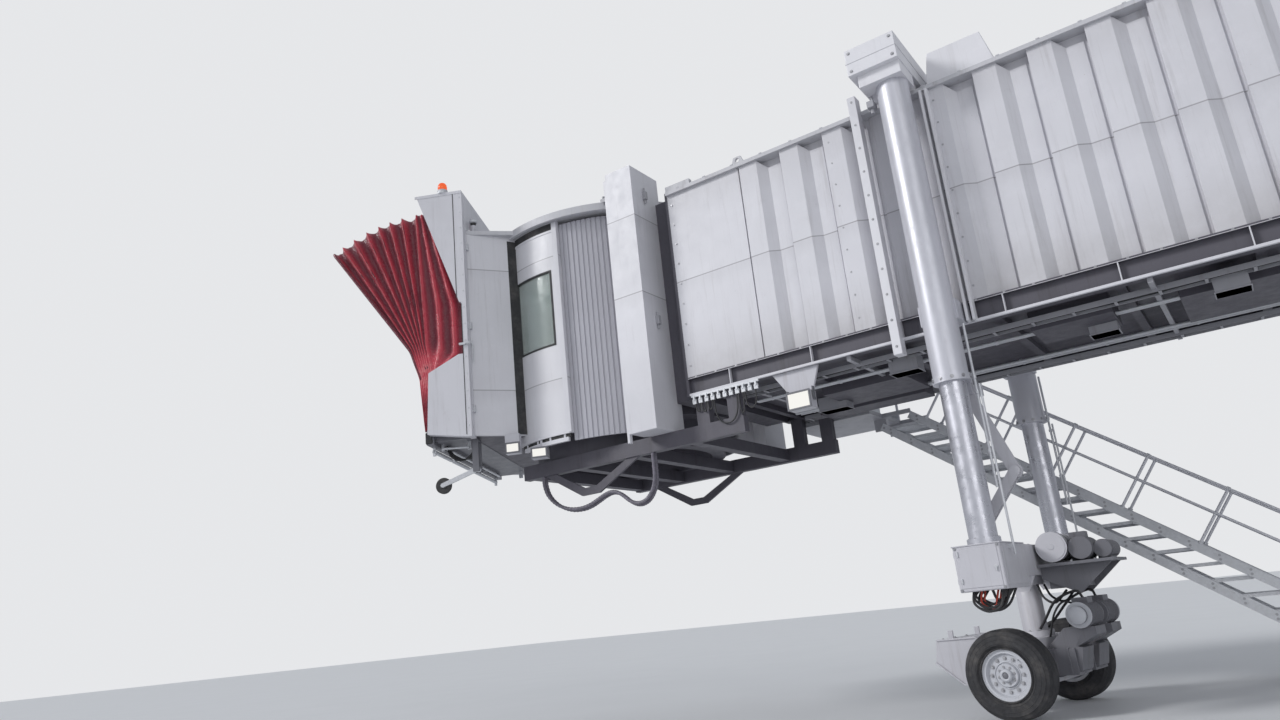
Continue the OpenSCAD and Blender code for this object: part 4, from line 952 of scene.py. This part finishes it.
def tunnel_parts():
    k = Kit("tunnel_bolts", "outer", "bolt")
    for s in SIDES:
        out, y = (0, s, 0), s * HALF
        k.bolts(evenly((CAB_END + 0.12, y, 4.24), (TAIL_X - 0.12, y, 4.24), 34), out, 0.008, 0.006)
        for x in (CAB_END + 0.06, -0.95, -0.5, 0.34, TAIL_X - 0.06):
            k.bolts(evenly((x, y, 4.4), (x, y, 6.65), 9), out, 0.007, 0.005)
        k.bolts(evenly((-0.54, s * 1.6, 3.92), (-0.54, s * 1.6, 6.95), 11), out, 0.009, 0.007)
        k.bolts(ring_points(0, s * COL_Y, 7.33, 0.14, 6), UP, 0.016, 0.014)
        for x, y, z in ring_points(0, 0, 3.385, 1.0, 10):
            k.bolts([(0.19 * x, s * COL_Y + 0.19 * y, z)], (x, y, 0), 0.012, 0.012)
        k.bolts([(x, s * 2.05, z) for x in (-0.33, 0.15) for z in (7.05, 7.28)], out)
    k.done()
    k = Kit("chord_lips", "outer", "panel")
    k.pair((CAB_END, HALF - 0.03, CHORD_Z - 0.004), (TAIL_X, HALF + 0.006, CHORD_Z + 0.026))
    k.pair((CAB_END, HALF - 0.002, 4.226), (TAIL_X, HALF + 0.004, 4.232))
    for x in steps(CAB_END + 0.6, 1.1, 9):
        k.pair((x - 0.006, HALF - 0.055, CHORD_Z + 0.02), (x + 0.006, HALF, 4.23))
    k.done(0.002)
    k = Kit("roof_trim", "outer", "roof")
    for x in steps(CAB_END + 0.5, 1.16, 9):
        for s in () if 0.1 < x < 1.3 else SIDES:
            k.box((x - 0.018, s * 0.01, 6.888), (x + 0.018, s * 1.37, 6.916),
                  Matrix.Rotation(radians(-1.66 * s), 4, "X"))
    for x in steps(CAB_END + 0.18, 0.42, 24):
        k.pair((x, 1.4, 6.845), (x + 0.04, 1.494, 6.862))
    k.box((-0.384, -2.054, 7.15), (0.204, 2.054, 7.158))
    k.row((0.42, 0.92), 0.02, (-1.3, -0.8), (7.28, 7.29))
    k.done(0.003)
    k = Kit("wall_fittings", "outer", "mid")
    k.box((-0.3, -1.83, 6.66), (-0.22, -1.7, 6.74))
    k.bar((-0.26, -1.77, 6.6), "Z", 0.06, 0.022, 16)
    k.bar((-0.26, -1.72, 6.78), "Z", 0.08, 0.012, 10)
    for z in (6.9, 5.1):
        k.box((-3.63, -1.56, z - 0.06), (-3.57, -1.5, z + 0.06))
        k.bar((-3.6, -1.53, z - 0.12), "Z", 0.24, 0.012, 10)
    k.box((-4.3, -1.6, 7.02), (-4.02, -1.54, 7.08))
    k.bar((-4.26, -1.57, 6.98), "Z", 0.14, 0.02)
    k.done(0.004)


def under_tunnel():
    k = Kit("under_trays", "outer", "mid")
    for y in (-1.12, 1.05):
        for edge in (y, y + 0.16):
            k.box((-2.9, edge, 3.93), (6.2, edge + 0.006, 3.99))
        k.row(steps(-2.85, 0.4, 23), 0.03, (y, y + 0.166), (3.93, 3.938))
    for x, y, w in ((-0.9, -0.9, 0.34), (1.2, -0.5, 0.28), (2.4, -1.0, 0.3), (4.1, -0.7, 0.26),
            (-2.3, 0.2, 0.4)):
        k.box((x, y, 3.8), (x + w, y + 0.24, 3.99))
        k.box((x - 0.008, y - 0.008, 3.8), (x + w + 0.008, y + 0.248, 3.812))
    k.row((-2.6, -1.2, 1.9, 3.6, 5.3), 0.05, (-1.4, 1.4), (3.955, 4.01))
    k.done(0.003)
    k = Kit("under_pipes", "outer", "zinc")
    for y, z, r in ((-0.62, 3.95, 0.017), (-0.56, 3.95, 0.017), (0.55, 3.94, 0.024), (0.72, 3.95, 0.014)):
        k.bar((-2.8, y, z), "X", 8.9, r)
        for x in steps(-2.6, 0.95, 10):
            k.bar((x, y, z), "X", 0.03, r * 1.35)
    for s in SIDES:
        k.bar((0.215, s * PIPE_Y, 2.25), "Z", 1.7, 0.014)
        for z in (2.6, 3.2, 3.36):
            k.bar((0.215, s * PIPE_Y, z), "Z", 0.03, 0.022)
    k.done()
    k = Kit("under_wires", "outer", "wire")
    for y in (-1.09, -1.06, -1.02, 1.08, 1.11):
        k.tube([(x, y + 0.006 * sin(i * 1.7), 3.955 + 0.006 * cos(i))
                for i, x in enumerate(steps(-2.88, 0.3, 31))], 0.011)
    k.done()
    lens = Kit("tunnel_lamp_lens", "outer", "lens")
    body = Kit("tunnel_lamp_frame", "outer", "machine")
    flood(lens, body, -1.96, -1.66, -1.51, 3.51, 3.72, 0.17)
    for x in (-1.972, -1.648):
        body.box((x - 0.006, -1.46, 3.6), (x + 0.006, -1.4, 3.76))
        body.bar((x - 0.014, -1.43, 3.62), "X", 0.028, 0.018)
    lens.done(0.004)
    body.done(0.002)


def flood(lens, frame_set, x0, x1, y, z0, z1, depth):
    """Lens, bezel and cooling fins of a floodlight whose front face is at y, towards -Y."""
    edge, lip, back = 0.018, 0.004, y + depth - 0.002
    lens.box((x0 + edge, y - 0.006, z0 + edge), (x1 - edge, y + 0.004, z1 - edge))
    left, right, low, high = x0 - lip, x1 + lip, z0 - lip, z1 + lip
    for xa, za, xb, zb in ((left, low, right, z0 + edge), (left, z1 - edge, right, high),
            (left, z0 + edge, x0 + edge, z1 - edge), (x1 - edge, z0 + edge, right, z1 - edge)):
        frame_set.box((xa, y - 0.012, za), (xb, y + 0.002, zb))
    for p in evenly((x0 + 0.02, 0, 0), (x1 - 0.02, 0, 0), 7):
        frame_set.box((p.x - 0.003, back, z0 + 0.01), (p.x + 0.003, back + 0.024, z1 - 0.01))


# The cab's parts, about the middle of its turntable, with the canopy towards -X

def cab_parts():
    k = Kit("cab_gasket", "cab", "rubber")
    for z0, z1 in ((5.108, 5.134), (6.196, 6.222)):
        k.arc_strip(1.765, 1.808, -46.8, -22.5, z0, z1, 24)
    for a0, a1 in ((-46.8, -45.9), (-23.4, -22.5)):
        k.arc_strip(1.765, 1.808, a0, a1, 5.134, 6.196, 2)
    k.done(0.002)
    k = Kit("cab_trim", "cab", "panel")
    for a0, a1, z0, z1, r in ((-20.6, -18.1, 3.86, 6.93, 1.812), (-51.5, -50.4, 3.86, 6.93, 1.808),
            (-50, -19, 3.845, 3.885, 1.812), (-50, -19, 6.79, 6.82, 1.808)):
        k.arc_pair(1.78, r, a0, a1, z0, z1)
    k.arc_pair(1.748, 1.8, -48, -20, 3.745, 3.8)
    for a in steps(112, 8, 4) + steps(-112, -8, 4):
        k.bar((1.775 * cos(radians(a)), 1.775 * sin(radians(a)), 3.8), "Z", 0.06, 0.02, 10)
    k.pair((-2.6, 1.7982, 7.56), (-1.9, 1.806, 7.604))
    k.pair((-1.899, 1.72, 4.0), (-1.892, 1.73, 7.5))
    k.done(0.002)
    # Dark strips: painted shade in the recess corners and under the eave, a dark strip at the foot of the wall, and
    # door seams.
    k = Kit("cab_seams_and_painted_shade", "cab", "rubber")
    # Painted shade on the wall's return in each recess corner.
    for s in SIDES:
        x, y = -1.3135, s * 1.3065
        k.box((x - 0.084, y - 0.002, 3.99), (x + 0.084, y + 0.002, 6.9),
              Matrix.Rotation(radians(-40.2 * s), 4, "Z"))
    # Painted shade under the eave.
    k.arc_pair(1.78, 1.805, -50, -19, 6.83, 6.925)
    k.arc_pair(1.755, 1.785, -50, -19, 3.8, 3.85)
    # Dark door seams.
    k.pair((-2.038, 1.797, 5.95), (-2.028, 1.803, 7.58))
    k.pair((-1.976, 1.797, 3.98), (-1.966, 1.803, 5.86))
    k.done()
    k = Kit("cab_hardware", "cab", "zinc")
    k.pair((-2.02, 1.8, 5.24), (-1.93, 1.83, 5.27))
    k.pair((-1.9, 1.69, 5.28), (-1.86, 1.71, 5.32))
    for z in (4.3, 5.5, 6.7):
        k.pair((-1.9, 1.66, z), (-1.87, 1.7, z + 0.1))
    for s in SIDES:
        k.bar((-1.93, s * 1.84, 5.255), "X", 0.07, 0.012, 10)
        k.bar((-1.868, s * 1.7, 5.02), "Z", 0.28, 0.008, 10)
        k.bolts(evenly((-1.935, s * 1.8, 4.1), (-1.935, s * 1.8, 7.5), 15), (0, s, 0), 0.007, 0.005)
    k.lathe((-1.81, -1.57, 7.16), UP, [(0, 0), (0.046, 0), (0.062, 0.012), (0.064, 0.03), (0.05, 0.052),
            (0.02, 0.062), (0, 0.063)], 24)
    k.lathe((-2.195, -1.745, 7.6), UP, [(0, 0), (0.085, 0), (0.085, 0.018), (0.07, 0.024), (0.068, 0.05),
            (0.074, 0.055), (0.074, 0.066), (0, 0.068)], 28)
    k.done(0.002)
    k = Kit("beacon_dome", "cab", "beacon")
    k.lathe((-2.195, -1.745, 7.664), UP, [(0, 0), (0.066, 0), (0.068, 0.05), (0.062, 0.088),
            (0.045, 0.113), (0.02, 0.126), (0, 0.128)], 28)
    k.done()
    k = Kit("camera_dome", "cab", "wire")
    k.lathe((-1.81, -1.57, 7.162), DOWN, [(0.044, 0), (0.042, 0.02), (0.03, 0.036), (0, 0.044)], 24)
    k.done()
    lens = Kit("cab_lamp_lenses", "cab", "lens")
    body = Kit("cab_lamp_frames", "cab", "machine")
    flood(lens, body, -1.54, -1.34, -1.48, 3.715, 3.86, 0.12)
    flood(lens, body, -1.17, -0.95, -1.55, 3.595, 3.735, 0.15)
    lens.done(0.004)
    body.done(0.002)


def bumper_parts():
    k = Kit("bumper_rubber", "cab", "rubber")
    for z in (3.94, 4.04):
        k.box((-2.615, -1.6, z), (-2.575, 1.6, z + 0.06))
    k.pair((-2.6, 1.62, 3.94), (-2.5, 1.672, 4.1))
    k.done(0.014)
    k = Kit("bumper_metal", "cab", "zinc")
    k.pair((-2.48, 1.6, 4.1), (-1.98, 1.625, 4.15))
    k.pair((-2.47, 1.4, 3.88), (-2.43, 1.36, 3.99))
    k.pair((-2.1, 1.4, 3.86), (-2.04, 1.36, 3.99))
    k.pair((-2.56, 1.5, 3.8), (-2.52, 1.47, 3.94))
    for y0, y1 in ((-1.5, -0.8), (-0.7, 0.0), (0.1, 0.8), (0.85, 1.5)):
        k.bar((-2.54, y0, 3.86), "Y", y1 - y0, 0.028, 16)
    k.rod((-2.45, -1.44, 3.9), (-2.06, -1.44, 3.88), 0.016, 10)
    k.bar((-2.42, -1.3, 3.92), "Y", 2.6, 0.02)
    k.bolts(evenly((-2.53, -1.55, 4.13), (-2.53, 1.55, 4.13), 12), UP)
    k.done(0.002)
    k = Kit("bumper_wires", "cab", "wire")
    for i, y in enumerate((-1.3, -1.24, -1.17)):
        drop = 0.02 * i
        k.wire([(-2.42, y, 3.96), (-2.36, y - 0.02, 3.8 + drop), (-2.2, y - 0.05, 3.72 + drop),
                (-2.05, y - 0.06, 3.8), (-2.0, y - 0.05, 3.97)], 0.011)
    k.done()


# Parts that ride up and down on the columns

def cabinet_parts():
    k = Kit("lift_bolts", "lift", "bolt")
    for s in SIDES:
        k.bolts(ring_points(0, s * COL_Y, 1.78, 0.149, 10), UP, 0.007, 0.008, False)
    k.bolts(evenly((-0.12, -1.0, 1.72), (-0.12, 0.9, 1.72), 8), UP)
    k.bolts(evenly((0.12, -1.0, 1.72), (0.12, -0.5, 1.72), 3), UP)
    k.bolts([(x, -1.97, z) for x in (-0.235, 0.165) for z in (1.31, 1.7)], (0, -1, 0), 0.009, 0.008)
    k.bolts([(x, y, 1.5) for x in (0.3, 0.7) for y in (-0.3, 0.3)], UP, 0.012, 0.012)
    k.done()
    k = Kit("cabinet_trim", "lift", "grey")
    k.box((-0.267, -1.978, 1.715), (0.197, -1.04, 1.727))
    k.box((-0.225, -1.976, 1.325), (0.155, -1.969, 1.69))
    k.row((-0.267, 0.189), 0.008, (-1.93, -1.1), (1.325, 1.69))
    k.done(0.004)
    k = Kit("cabinet_hardware", "lift", "zinc")
    for z in (1.37, 1.62):
        k.bar((-0.215, -1.98, z), "Z", 0.05, 0.009)
        k.bar((-0.27, -1.9, z), "Z", 0.05, 0.009)
    k.bar((0.125, -1.984, 1.5), "Y", 0.012, 0.018, 16)
    k.box((0.119, -1.992, 1.46), (0.131, -1.982, 1.505))
    k.bar((-0.28, -1.15, 1.5), "X", 0.018, 0.018, 16)
    k.box((-0.3, -1.6, 1.5), (-0.262, -1.52, 1.56))
    k.pair((0.19, PIPE_Y - 0.01, 1.66), (0.25, PIPE_Y + 0.01, 1.7))
    for s in SIDES:
        k.bar((0.25, s * PIPE_Y, 1.6), "Z", 1.7, 0.012)
    k.done(0.002)
    k = Kit("cabinet_wires", "lift", "wire")
    for i, y in enumerate(steps(-1.86, 0.05, 7)):
        low, shift = 1.1 + 0.03 * (i % 3), 0.01 * i
        k.wire([(-0.16 + shift, y, 1.3), (-0.17, y - 0.01, low + 0.08), (-0.05, y - 0.02, low),
                (0.07, y, low + 0.05), (0.1 + shift, y + 0.02, 1.3)], 0.012)
    k.wire([(-0.08, -1.5, 1.3), (-0.1, -1.3, 1.2), (-0.12, -0.9, 1.22), (-0.2, -0.4, 1.3),
            (-0.16, -0.2, 1.42)], 0.014)
    k.done()
    k = Kit("cabinet_conduit", "lift", "orange")
    for y in (-1.8, -1.68):
        k.wire([(-0.1, y, 1.3), (-0.12, y, 1.18), (-0.02, y + 0.02, 1.13), (0.05, y + 0.03, 1.3)], 0.01)
    k.done()


def pump_parts():
    k = Kit("pump_fins", "lift", "machine")
    pitch = 0.022
    for x, z, r, y0, y1 in ((0.33, 1.67, 0.122, 0.2, 0.4), (0.6, 1.63, 0.122, -0.36, 0.1),
            (0.8, 1.6, 0.097, -0.28, 0.24)):
        for y in steps(y0, pitch, int((y1 - y0) / pitch)):
            k.bar((x, y, z), "Y", 0.007, r, 28)
    for x, z, r, y in ((0.6, 1.63, 0.118, -0.4), (0.8, 1.6, 0.09, -0.32), (0.33, 1.67, 0.115, 0.42)):
        k.bar((x, y, z), "Y", 0.03, r, 28)
    for x, y in ((0.45, -0.12), (0.45, 0.08), (0.7, -0.05)):
        k.box((x, y, 1.49), (x + 0.11, y + 0.13, 1.6))
    k.box((0.5, -0.3, 1.735), (0.66, -0.12, 1.8))
    k.done(0.003)
    k = Kit("pump_drum", "lift", "grey")
    for y, long, r, n in ((-0.452, 0.024, 0.158, 40), (-0.34, 0.02, 0.154, 40), (-0.14, 0.02, 0.154, 40),
            (0.1, 0.02, 0.154, 40), (-0.458, 0.008, 0.14, 40), (-0.464, 0.008, 0.03, 20)):
        k.bar((0.33, y, 1.67), "Y", long, r, n)
    k.done(0.002)
    k = Kit("pump_hoses", "lift", "wire")
    for i, (a, b) in enumerate((((0.46, -0.2, 1.6), (0.82, -0.24, 1.52)),
            ((0.62, 0.02, 1.52), (0.4, 0.3, 1.56)),
            ((0.76, 0.1, 1.52), (0.5, 0.16, 1.6)),
            ((0.3, -0.32, 1.52), (0.56, -0.3, 1.52)))):
        mid = Vector(a).lerp(Vector(b), 0.5) + Vector((0.05, -0.05 + 0.04 * i, 0.16 if i % 2 else -0.14))
        k.wire([a, mid, b], 0.012, 8)
    for s in SIDES:
        k.wire([(0.35, s * 0.22, 1.22), (0.22, s * 0.26, 1.1), (0.1, s * 0.2, 1.16),
                (0.05, s * 0.16, 1.3)], 0.013)
    k.done()


# The wheel base, drawn about its kingpin

def bogie_parts():
    k = Kit("bogie_bolts", "bogie", "bolt")
    k.bolts(ring_points(0, 0, 0.82, 0.168, 12), UP, 0.011, 0.012)
    for y in (-0.45, -0.15, 0.15, 0.45):
        k.bolts([(-0.3, y, 0.742), (-0.88, y, 0.813)], (-0.1, 0, 1), 0.012, 0.012)
        k.bolts([(-0.955, y, 0.7)], (-1, 0, 0.2), 0.012, 0.012)
    for s in SIDES:
        k.bolts([(x, s * 0.58, z) for x in (-0.18, 0.18) for z in (0.34, 0.72)], (0, s, 0), 0.013, 0.012)
        k.bolts([(x, s * 0.12, 0.845) for x in (0.5, 0.7)], UP, 0.01, 0.01)
    k.done()
    k = Kit("bogie_trim", "bogie", "grey")
    for s in SIDES:
        for edge in ([(-0.24, 0.704), (-0.48, 0.826), (-0.935, 0.816), (-0.93, 0.8), (-0.48, 0.806),
                (-0.24, 0.69)], [(-0.24, 0.322), (-0.68, 0.322), (-0.985, 0.565), (-0.975, 0.58),
                (-0.68, 0.338), (-0.24, 0.338)]):
            k.prism(edge, s * 0.515, s * 0.535)
    k.pair((-0.86, 0.34, 0.81), (-0.8, 0.36, 0.9))
    k.done(0.003)
    k = Kit("drive_fins", "bogie", "machine")
    for y0 in (-0.44, 0.06):
        for y in steps(y0 + 0.03, 0.025, 13):
            k.bar((0.64, y, 0.96), "Y", 0.008, 0.137, 28)
        k.box((0.56, y0 + 0.1, 1.07), (0.72, y0 + 0.26, 1.13))
        k.bar((0.3, y0 + 0.05, 0.51), "Y", 0.28, 0.15, 28)
        k.prism([(0.52, 0.4), (0.55, 0.42), (0.6, 0.64), (0.52, 0.66)], y0 + 0.03, y0 + 0.35)
        k.row((0.3, 0.44), 0.02, (y0 - 0.006, y0 + 0.386), (0.39, 0.648))
    k.done(0.003)
    k = Kit("drive_covers", "bogie", "rim")
    for s in SIDES:
        k.lathe((0.64, s * 0.5, 0.96), (0, s, 0), [(0.09, -0.01), (0.094, 0), (0.09, 0.02), (0.06, 0.035),
                (0.02, 0.04), (0, 0.04)], 28)
        k.bar((0.64, s * 0.435, 0.96), "Y", s * 0.02, 0.13, 28)
    k.done(0.002)
    k = Kit("drive_hoses", "bogie", "wire")
    for s in SIDES:
        k.wire([(0.64, s * 0.2, 1.12), (0.58, s * 0.22, 1.2), (0.36, s * 0.22, 1.12),
                (0.2, s * 0.16, 0.95), (0.1, s * 0.12, 0.84)], 0.014)
        k.wire([(0.56, s * 0.3, 1.08), (0.46, s * 0.32, 1.1), (0.34, s * 0.3, 0.98),
                (0.24, s * 0.26, 0.76)], 0.011)
    k.done()


def wheel_parts(side, body):
    """Nuts, hub and beads of one wheel; side is -1 for the near one."""
    out = (0, side, 0)

    def across(off):
        return side * (WHEEL_Y + off)

    k = Kit(body + "_nuts", body, "bolt")
    for r, off, n, start, size, high in ((0.165, 0.08, 12, 0, 0.013, 0.016),
            (0.083, 0.11, 8, 0.2, 0.009, 0.01)):
        k.bolts([(r * cos(a), across(off), WHEEL_Z + r * sin(a)) for a in turns(n, start)], out, size, high)
    k.done()
    k = Kit(body + "_cap", body, "machine")
    k.lathe((0, across(0.112), WHEEL_Z), out, [(0.031, 0), (0.031, 0.031), (0.02, 0.036), (0, 0.036)], 24)
    k.done()
    k = Kit(body + "_hub", body, "rim")
    for off, n, profile in (
            (0.108, 32, [(0.066, 0), (0.064, 0.03), (0.05, 0.042), (0.034, 0.045), (0.032, 0.03), (0, 0.03)]),
            (0.075, 48, [(0.122, 0), (0.126, 0.014), (0.134, 0.014), (0.138, 0)]),
            (0.112, 64, [(0.236, 0), (0.24, 0.01), (0.252, 0.012), (0.256, 0)])):
        k.lathe((0, across(off), WHEEL_Z), out, profile, n)
    k.bar((0.14, across(0.085), WHEEL_Z + 0.14), "Y", side * 0.04, 0.006, 8)
    k.done()
    k = Kit(body + "_beads", body, "tyre")
    for s in SIDES:
        for r, half_wide in ((0.262, 0.145), (0.3, 0.148), (0.352, 0.14664), (0.392, 0.14344)):
            k.lathe((0, side * WHEEL_Y + s * (half_wide - 0.004), WHEEL_Z), (0, s, 0),
                    [(r - 0.007, 0), (r - 0.003, 0.007), (r + 0.003, 0.007), (r + 0.007, 0)], 72)
    k.done()


# The stair, drawn level along its own slope, and its landing

def stair_parts():
    k = Kit("stair_bolts", "stair", "bolt")
    for x in ((-0.205 + 0.2 * i) / sin(radians(STAIR_SLOPE)) for i in range(1, 19)):
        for y, s in ((1.98, -1), (2.72, 1)):
            for bx, bz in ((x + 0.11, 0.0), (x + 0.375, 0.342)):
                if 0.02 < bx < 6.1 and not (bz > 0 and bx < 0.3):
                    k.bolts([(bx, y, bz + 0.02), (bx + 0.03, y, bz - 0.02)], (0, s, 0), 0.009, 0.007)
    k.done()
    k = Kit("stair_clamps", "stair", "zinc")
    for y in (2.0, 2.7):
        for x in steps(0.505, 0.92, 6):
            k.bar((x, y, 0.395), "Z", 0.025, 0.03)
            for z in (0.802, 1.129):
                k.bar((x - 0.02, y, z), "X", 0.04, 0.024)
    k.done()
    k = Kit("landing_trim", "outer", "zinc")
    k.row(steps(-3.26, 0.055, 22), 0.006, (1.4, 2.74), (3.96, 3.972))
    k.row((-3.29, -2.09), 0.006, (1.5, 1.95), (3.96, 4.08))
    k.box((-3.29, 2.745, 3.96), (-2.09, 2.751, 4.08))
    k.done(0.001)


# Lamps, mats, rails and fittings inside

LAMP_Y = (-0.07, 0.07)
ACROSS = (-0.6, 0.6)


def row_kit(name, body, look, bevel, starts, wide, y, z):
    k = Kit(name, body, look)
    k.row(starts, wide, y, z)
    k.done(bevel)


def inside_parts():
    row_kit("outer_ceiling_lamps", "outer", "strip", 0.008, (-3.05, -1.85), 0.95, LAMP_Y, (6.758, 6.785))
    row_kit("outer_ceiling_frames", "outer", "inside", 0.004, (-3.08, -1.88), 1.01, (-0.1, 0.1),
            (6.775, 6.803))
    row_kit("outer_mat", "outer", "mat", 0.002, (-3.28,), 2.53, (-0.95, 0.95), (4.168, 4.176))
    row_kit("inner_ceiling_lamps", "inner", "strip", 0.008, steps(2.1, 1.2, 6), 0.8, LAMP_Y, (6.628, 6.655))
    k = Kit("inner_fittings", "inner", "inside")
    k.row(steps(2.07, 1.2, 6), 0.86, (-0.1, 0.1), (6.645, 6.682))
    k.pair((1.8, 1.1, 4.29), (9.4, INNER_HALF, 4.39))
    for x in steps(1.95, 0.66, 12):
        k.pair((x, INNER_HALF - 0.009, 4.4), (x + 0.02, INNER_HALF, 6.6))
    k.done(0.003)
    k = Kit("inner_rails", "inner", "zinc")
    for s in SIDES:
        k.bar((1.9, s * 1.05, 5.2), "X", 7.4, 0.02, 14)
        for x in steps(2.0, 0.9, 9):
            k.rod((x, s * 1.05, 5.185), (x, s * INNER_HALF, 5.15), 0.008, 8)
    k.done()
    row_kit("inner_mat", "inner", "mat", 0.002, (1.75,), 7.67, (-0.98, 0.98), (4.288, 4.297))
    row_kit("cab_lamps_inside", "cab", "strip", 0.008, (-0.97, -0.07, 0.83), 0.14, ACROSS, (6.93, 6.957))
    k = Kit("cab_mat", "cab", "mat")
    k.lathe((0, 0, 4.168), UP, [(0, 0), (1.6, 0), (1.6, 0.008), (0, 0.009)], 64)
    k.box((-2.4, -1.3, 4.142), (-1.97, 1.3, 4.156))
    k.done()
    row_kit("rotunda_lamps", "terminal", "strip", 0.008, (10.8, 11.55, 12.3), 0.14, ACROSS, (6.925, 6.955))
    k = Kit("rotunda_fittings", "terminal", "panel")
    for middle in (-90, 90):
        for degrees in steps(middle - 50, 12.5, 9):
            a = radians(degrees)
            k.bar((ROTUNDA_X + 2.001 * cos(a), 2.001 * sin(a), 4.3), "Z", 2.63, 0.008, 8)
    k.done()
    k = Kit("rotunda_mat", "terminal", "mat")
    k.lathe((ROTUNDA_X, 0, 4.278), UP, [(0, 0), (1.85, 0), (1.85, 0.008), (0, 0.009)], 64)
    k.done()
    k = Kit("pedestal_nuts", "terminal", "bolt")
    k.bolts(ring_points(ROTUNDA_X, 0, 0.07, 0.87, 12), UP, 0.03, 0.03)
    k.bolts(ring_points(ROTUNDA_X, 0, 3.9, 1.05, 24), DOWN, 0.014, 0.012)
    k.done()


# How far the edges of some nodes are rounded

SOFT_EDGES = {
    0.018: "cabinet",
    0.008: "curtain_housings header_beam bogie_frame drive_units",
    0.006: "crossbeam tunnel_floodlight cab_lamps bumper",
    0.004: "portal_posts front_frame scissor_upper scissor_lower service_door",
}


def add_details():
    for width, names in SOFT_EDGES.items():
        for name in names.split():
            soften(name, width)
    add_cords()
    tunnel_parts()
    under_tunnel()
    cab_parts()
    bumper_parts()
    cabinet_parts()
    pump_parts()
    bogie_parts()
    wheel_parts(-1, "wheel_near")
    wheel_parts(1, "wheel_far")
    stair_parts()
    inside_parts()


# Ground

def add_floor():
    data = bpy.data.meshes.new("floor")
    corners = [(-1, -1), (1, -1), (1, 1), (-1, 1)]
    data.from_pydata([(FLOOR_HALF * x, FLOOR_HALF * y, 0) for x, y in corners], [], [(0, 1, 2, 3)])
    floor = linked("floor", data)
    s = Shader("floor_look", (0.72, 0.73, 0.75), 0.6)
    s.patches(s.noise(0.5), 0.3, 0.7, 0.5, (0.69, 0.7, 0.72))
    s.bump(s.noise(25.0, 3), 0.001, 0.2)
    data.materials.append(s.mat)
    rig.stage(floor)


add_camera()
add_world()
add_sun("key", (0.62, 0.6, -0.5), 1.7, 16)
add_sun("fill", (-0.6, 0.7, -0.3), 0.5, 40)
add_sun("low", (-0.1, 0.75, 0.35), 0.3, 60)
add_floor()
dress_nodes()
make_canopy()
add_details()

low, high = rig.bounds()
json.dump({"cad": [list(cad_low), list(cad_high)], "visual": [list(low), list(high)]},
        open("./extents.json", "w"))
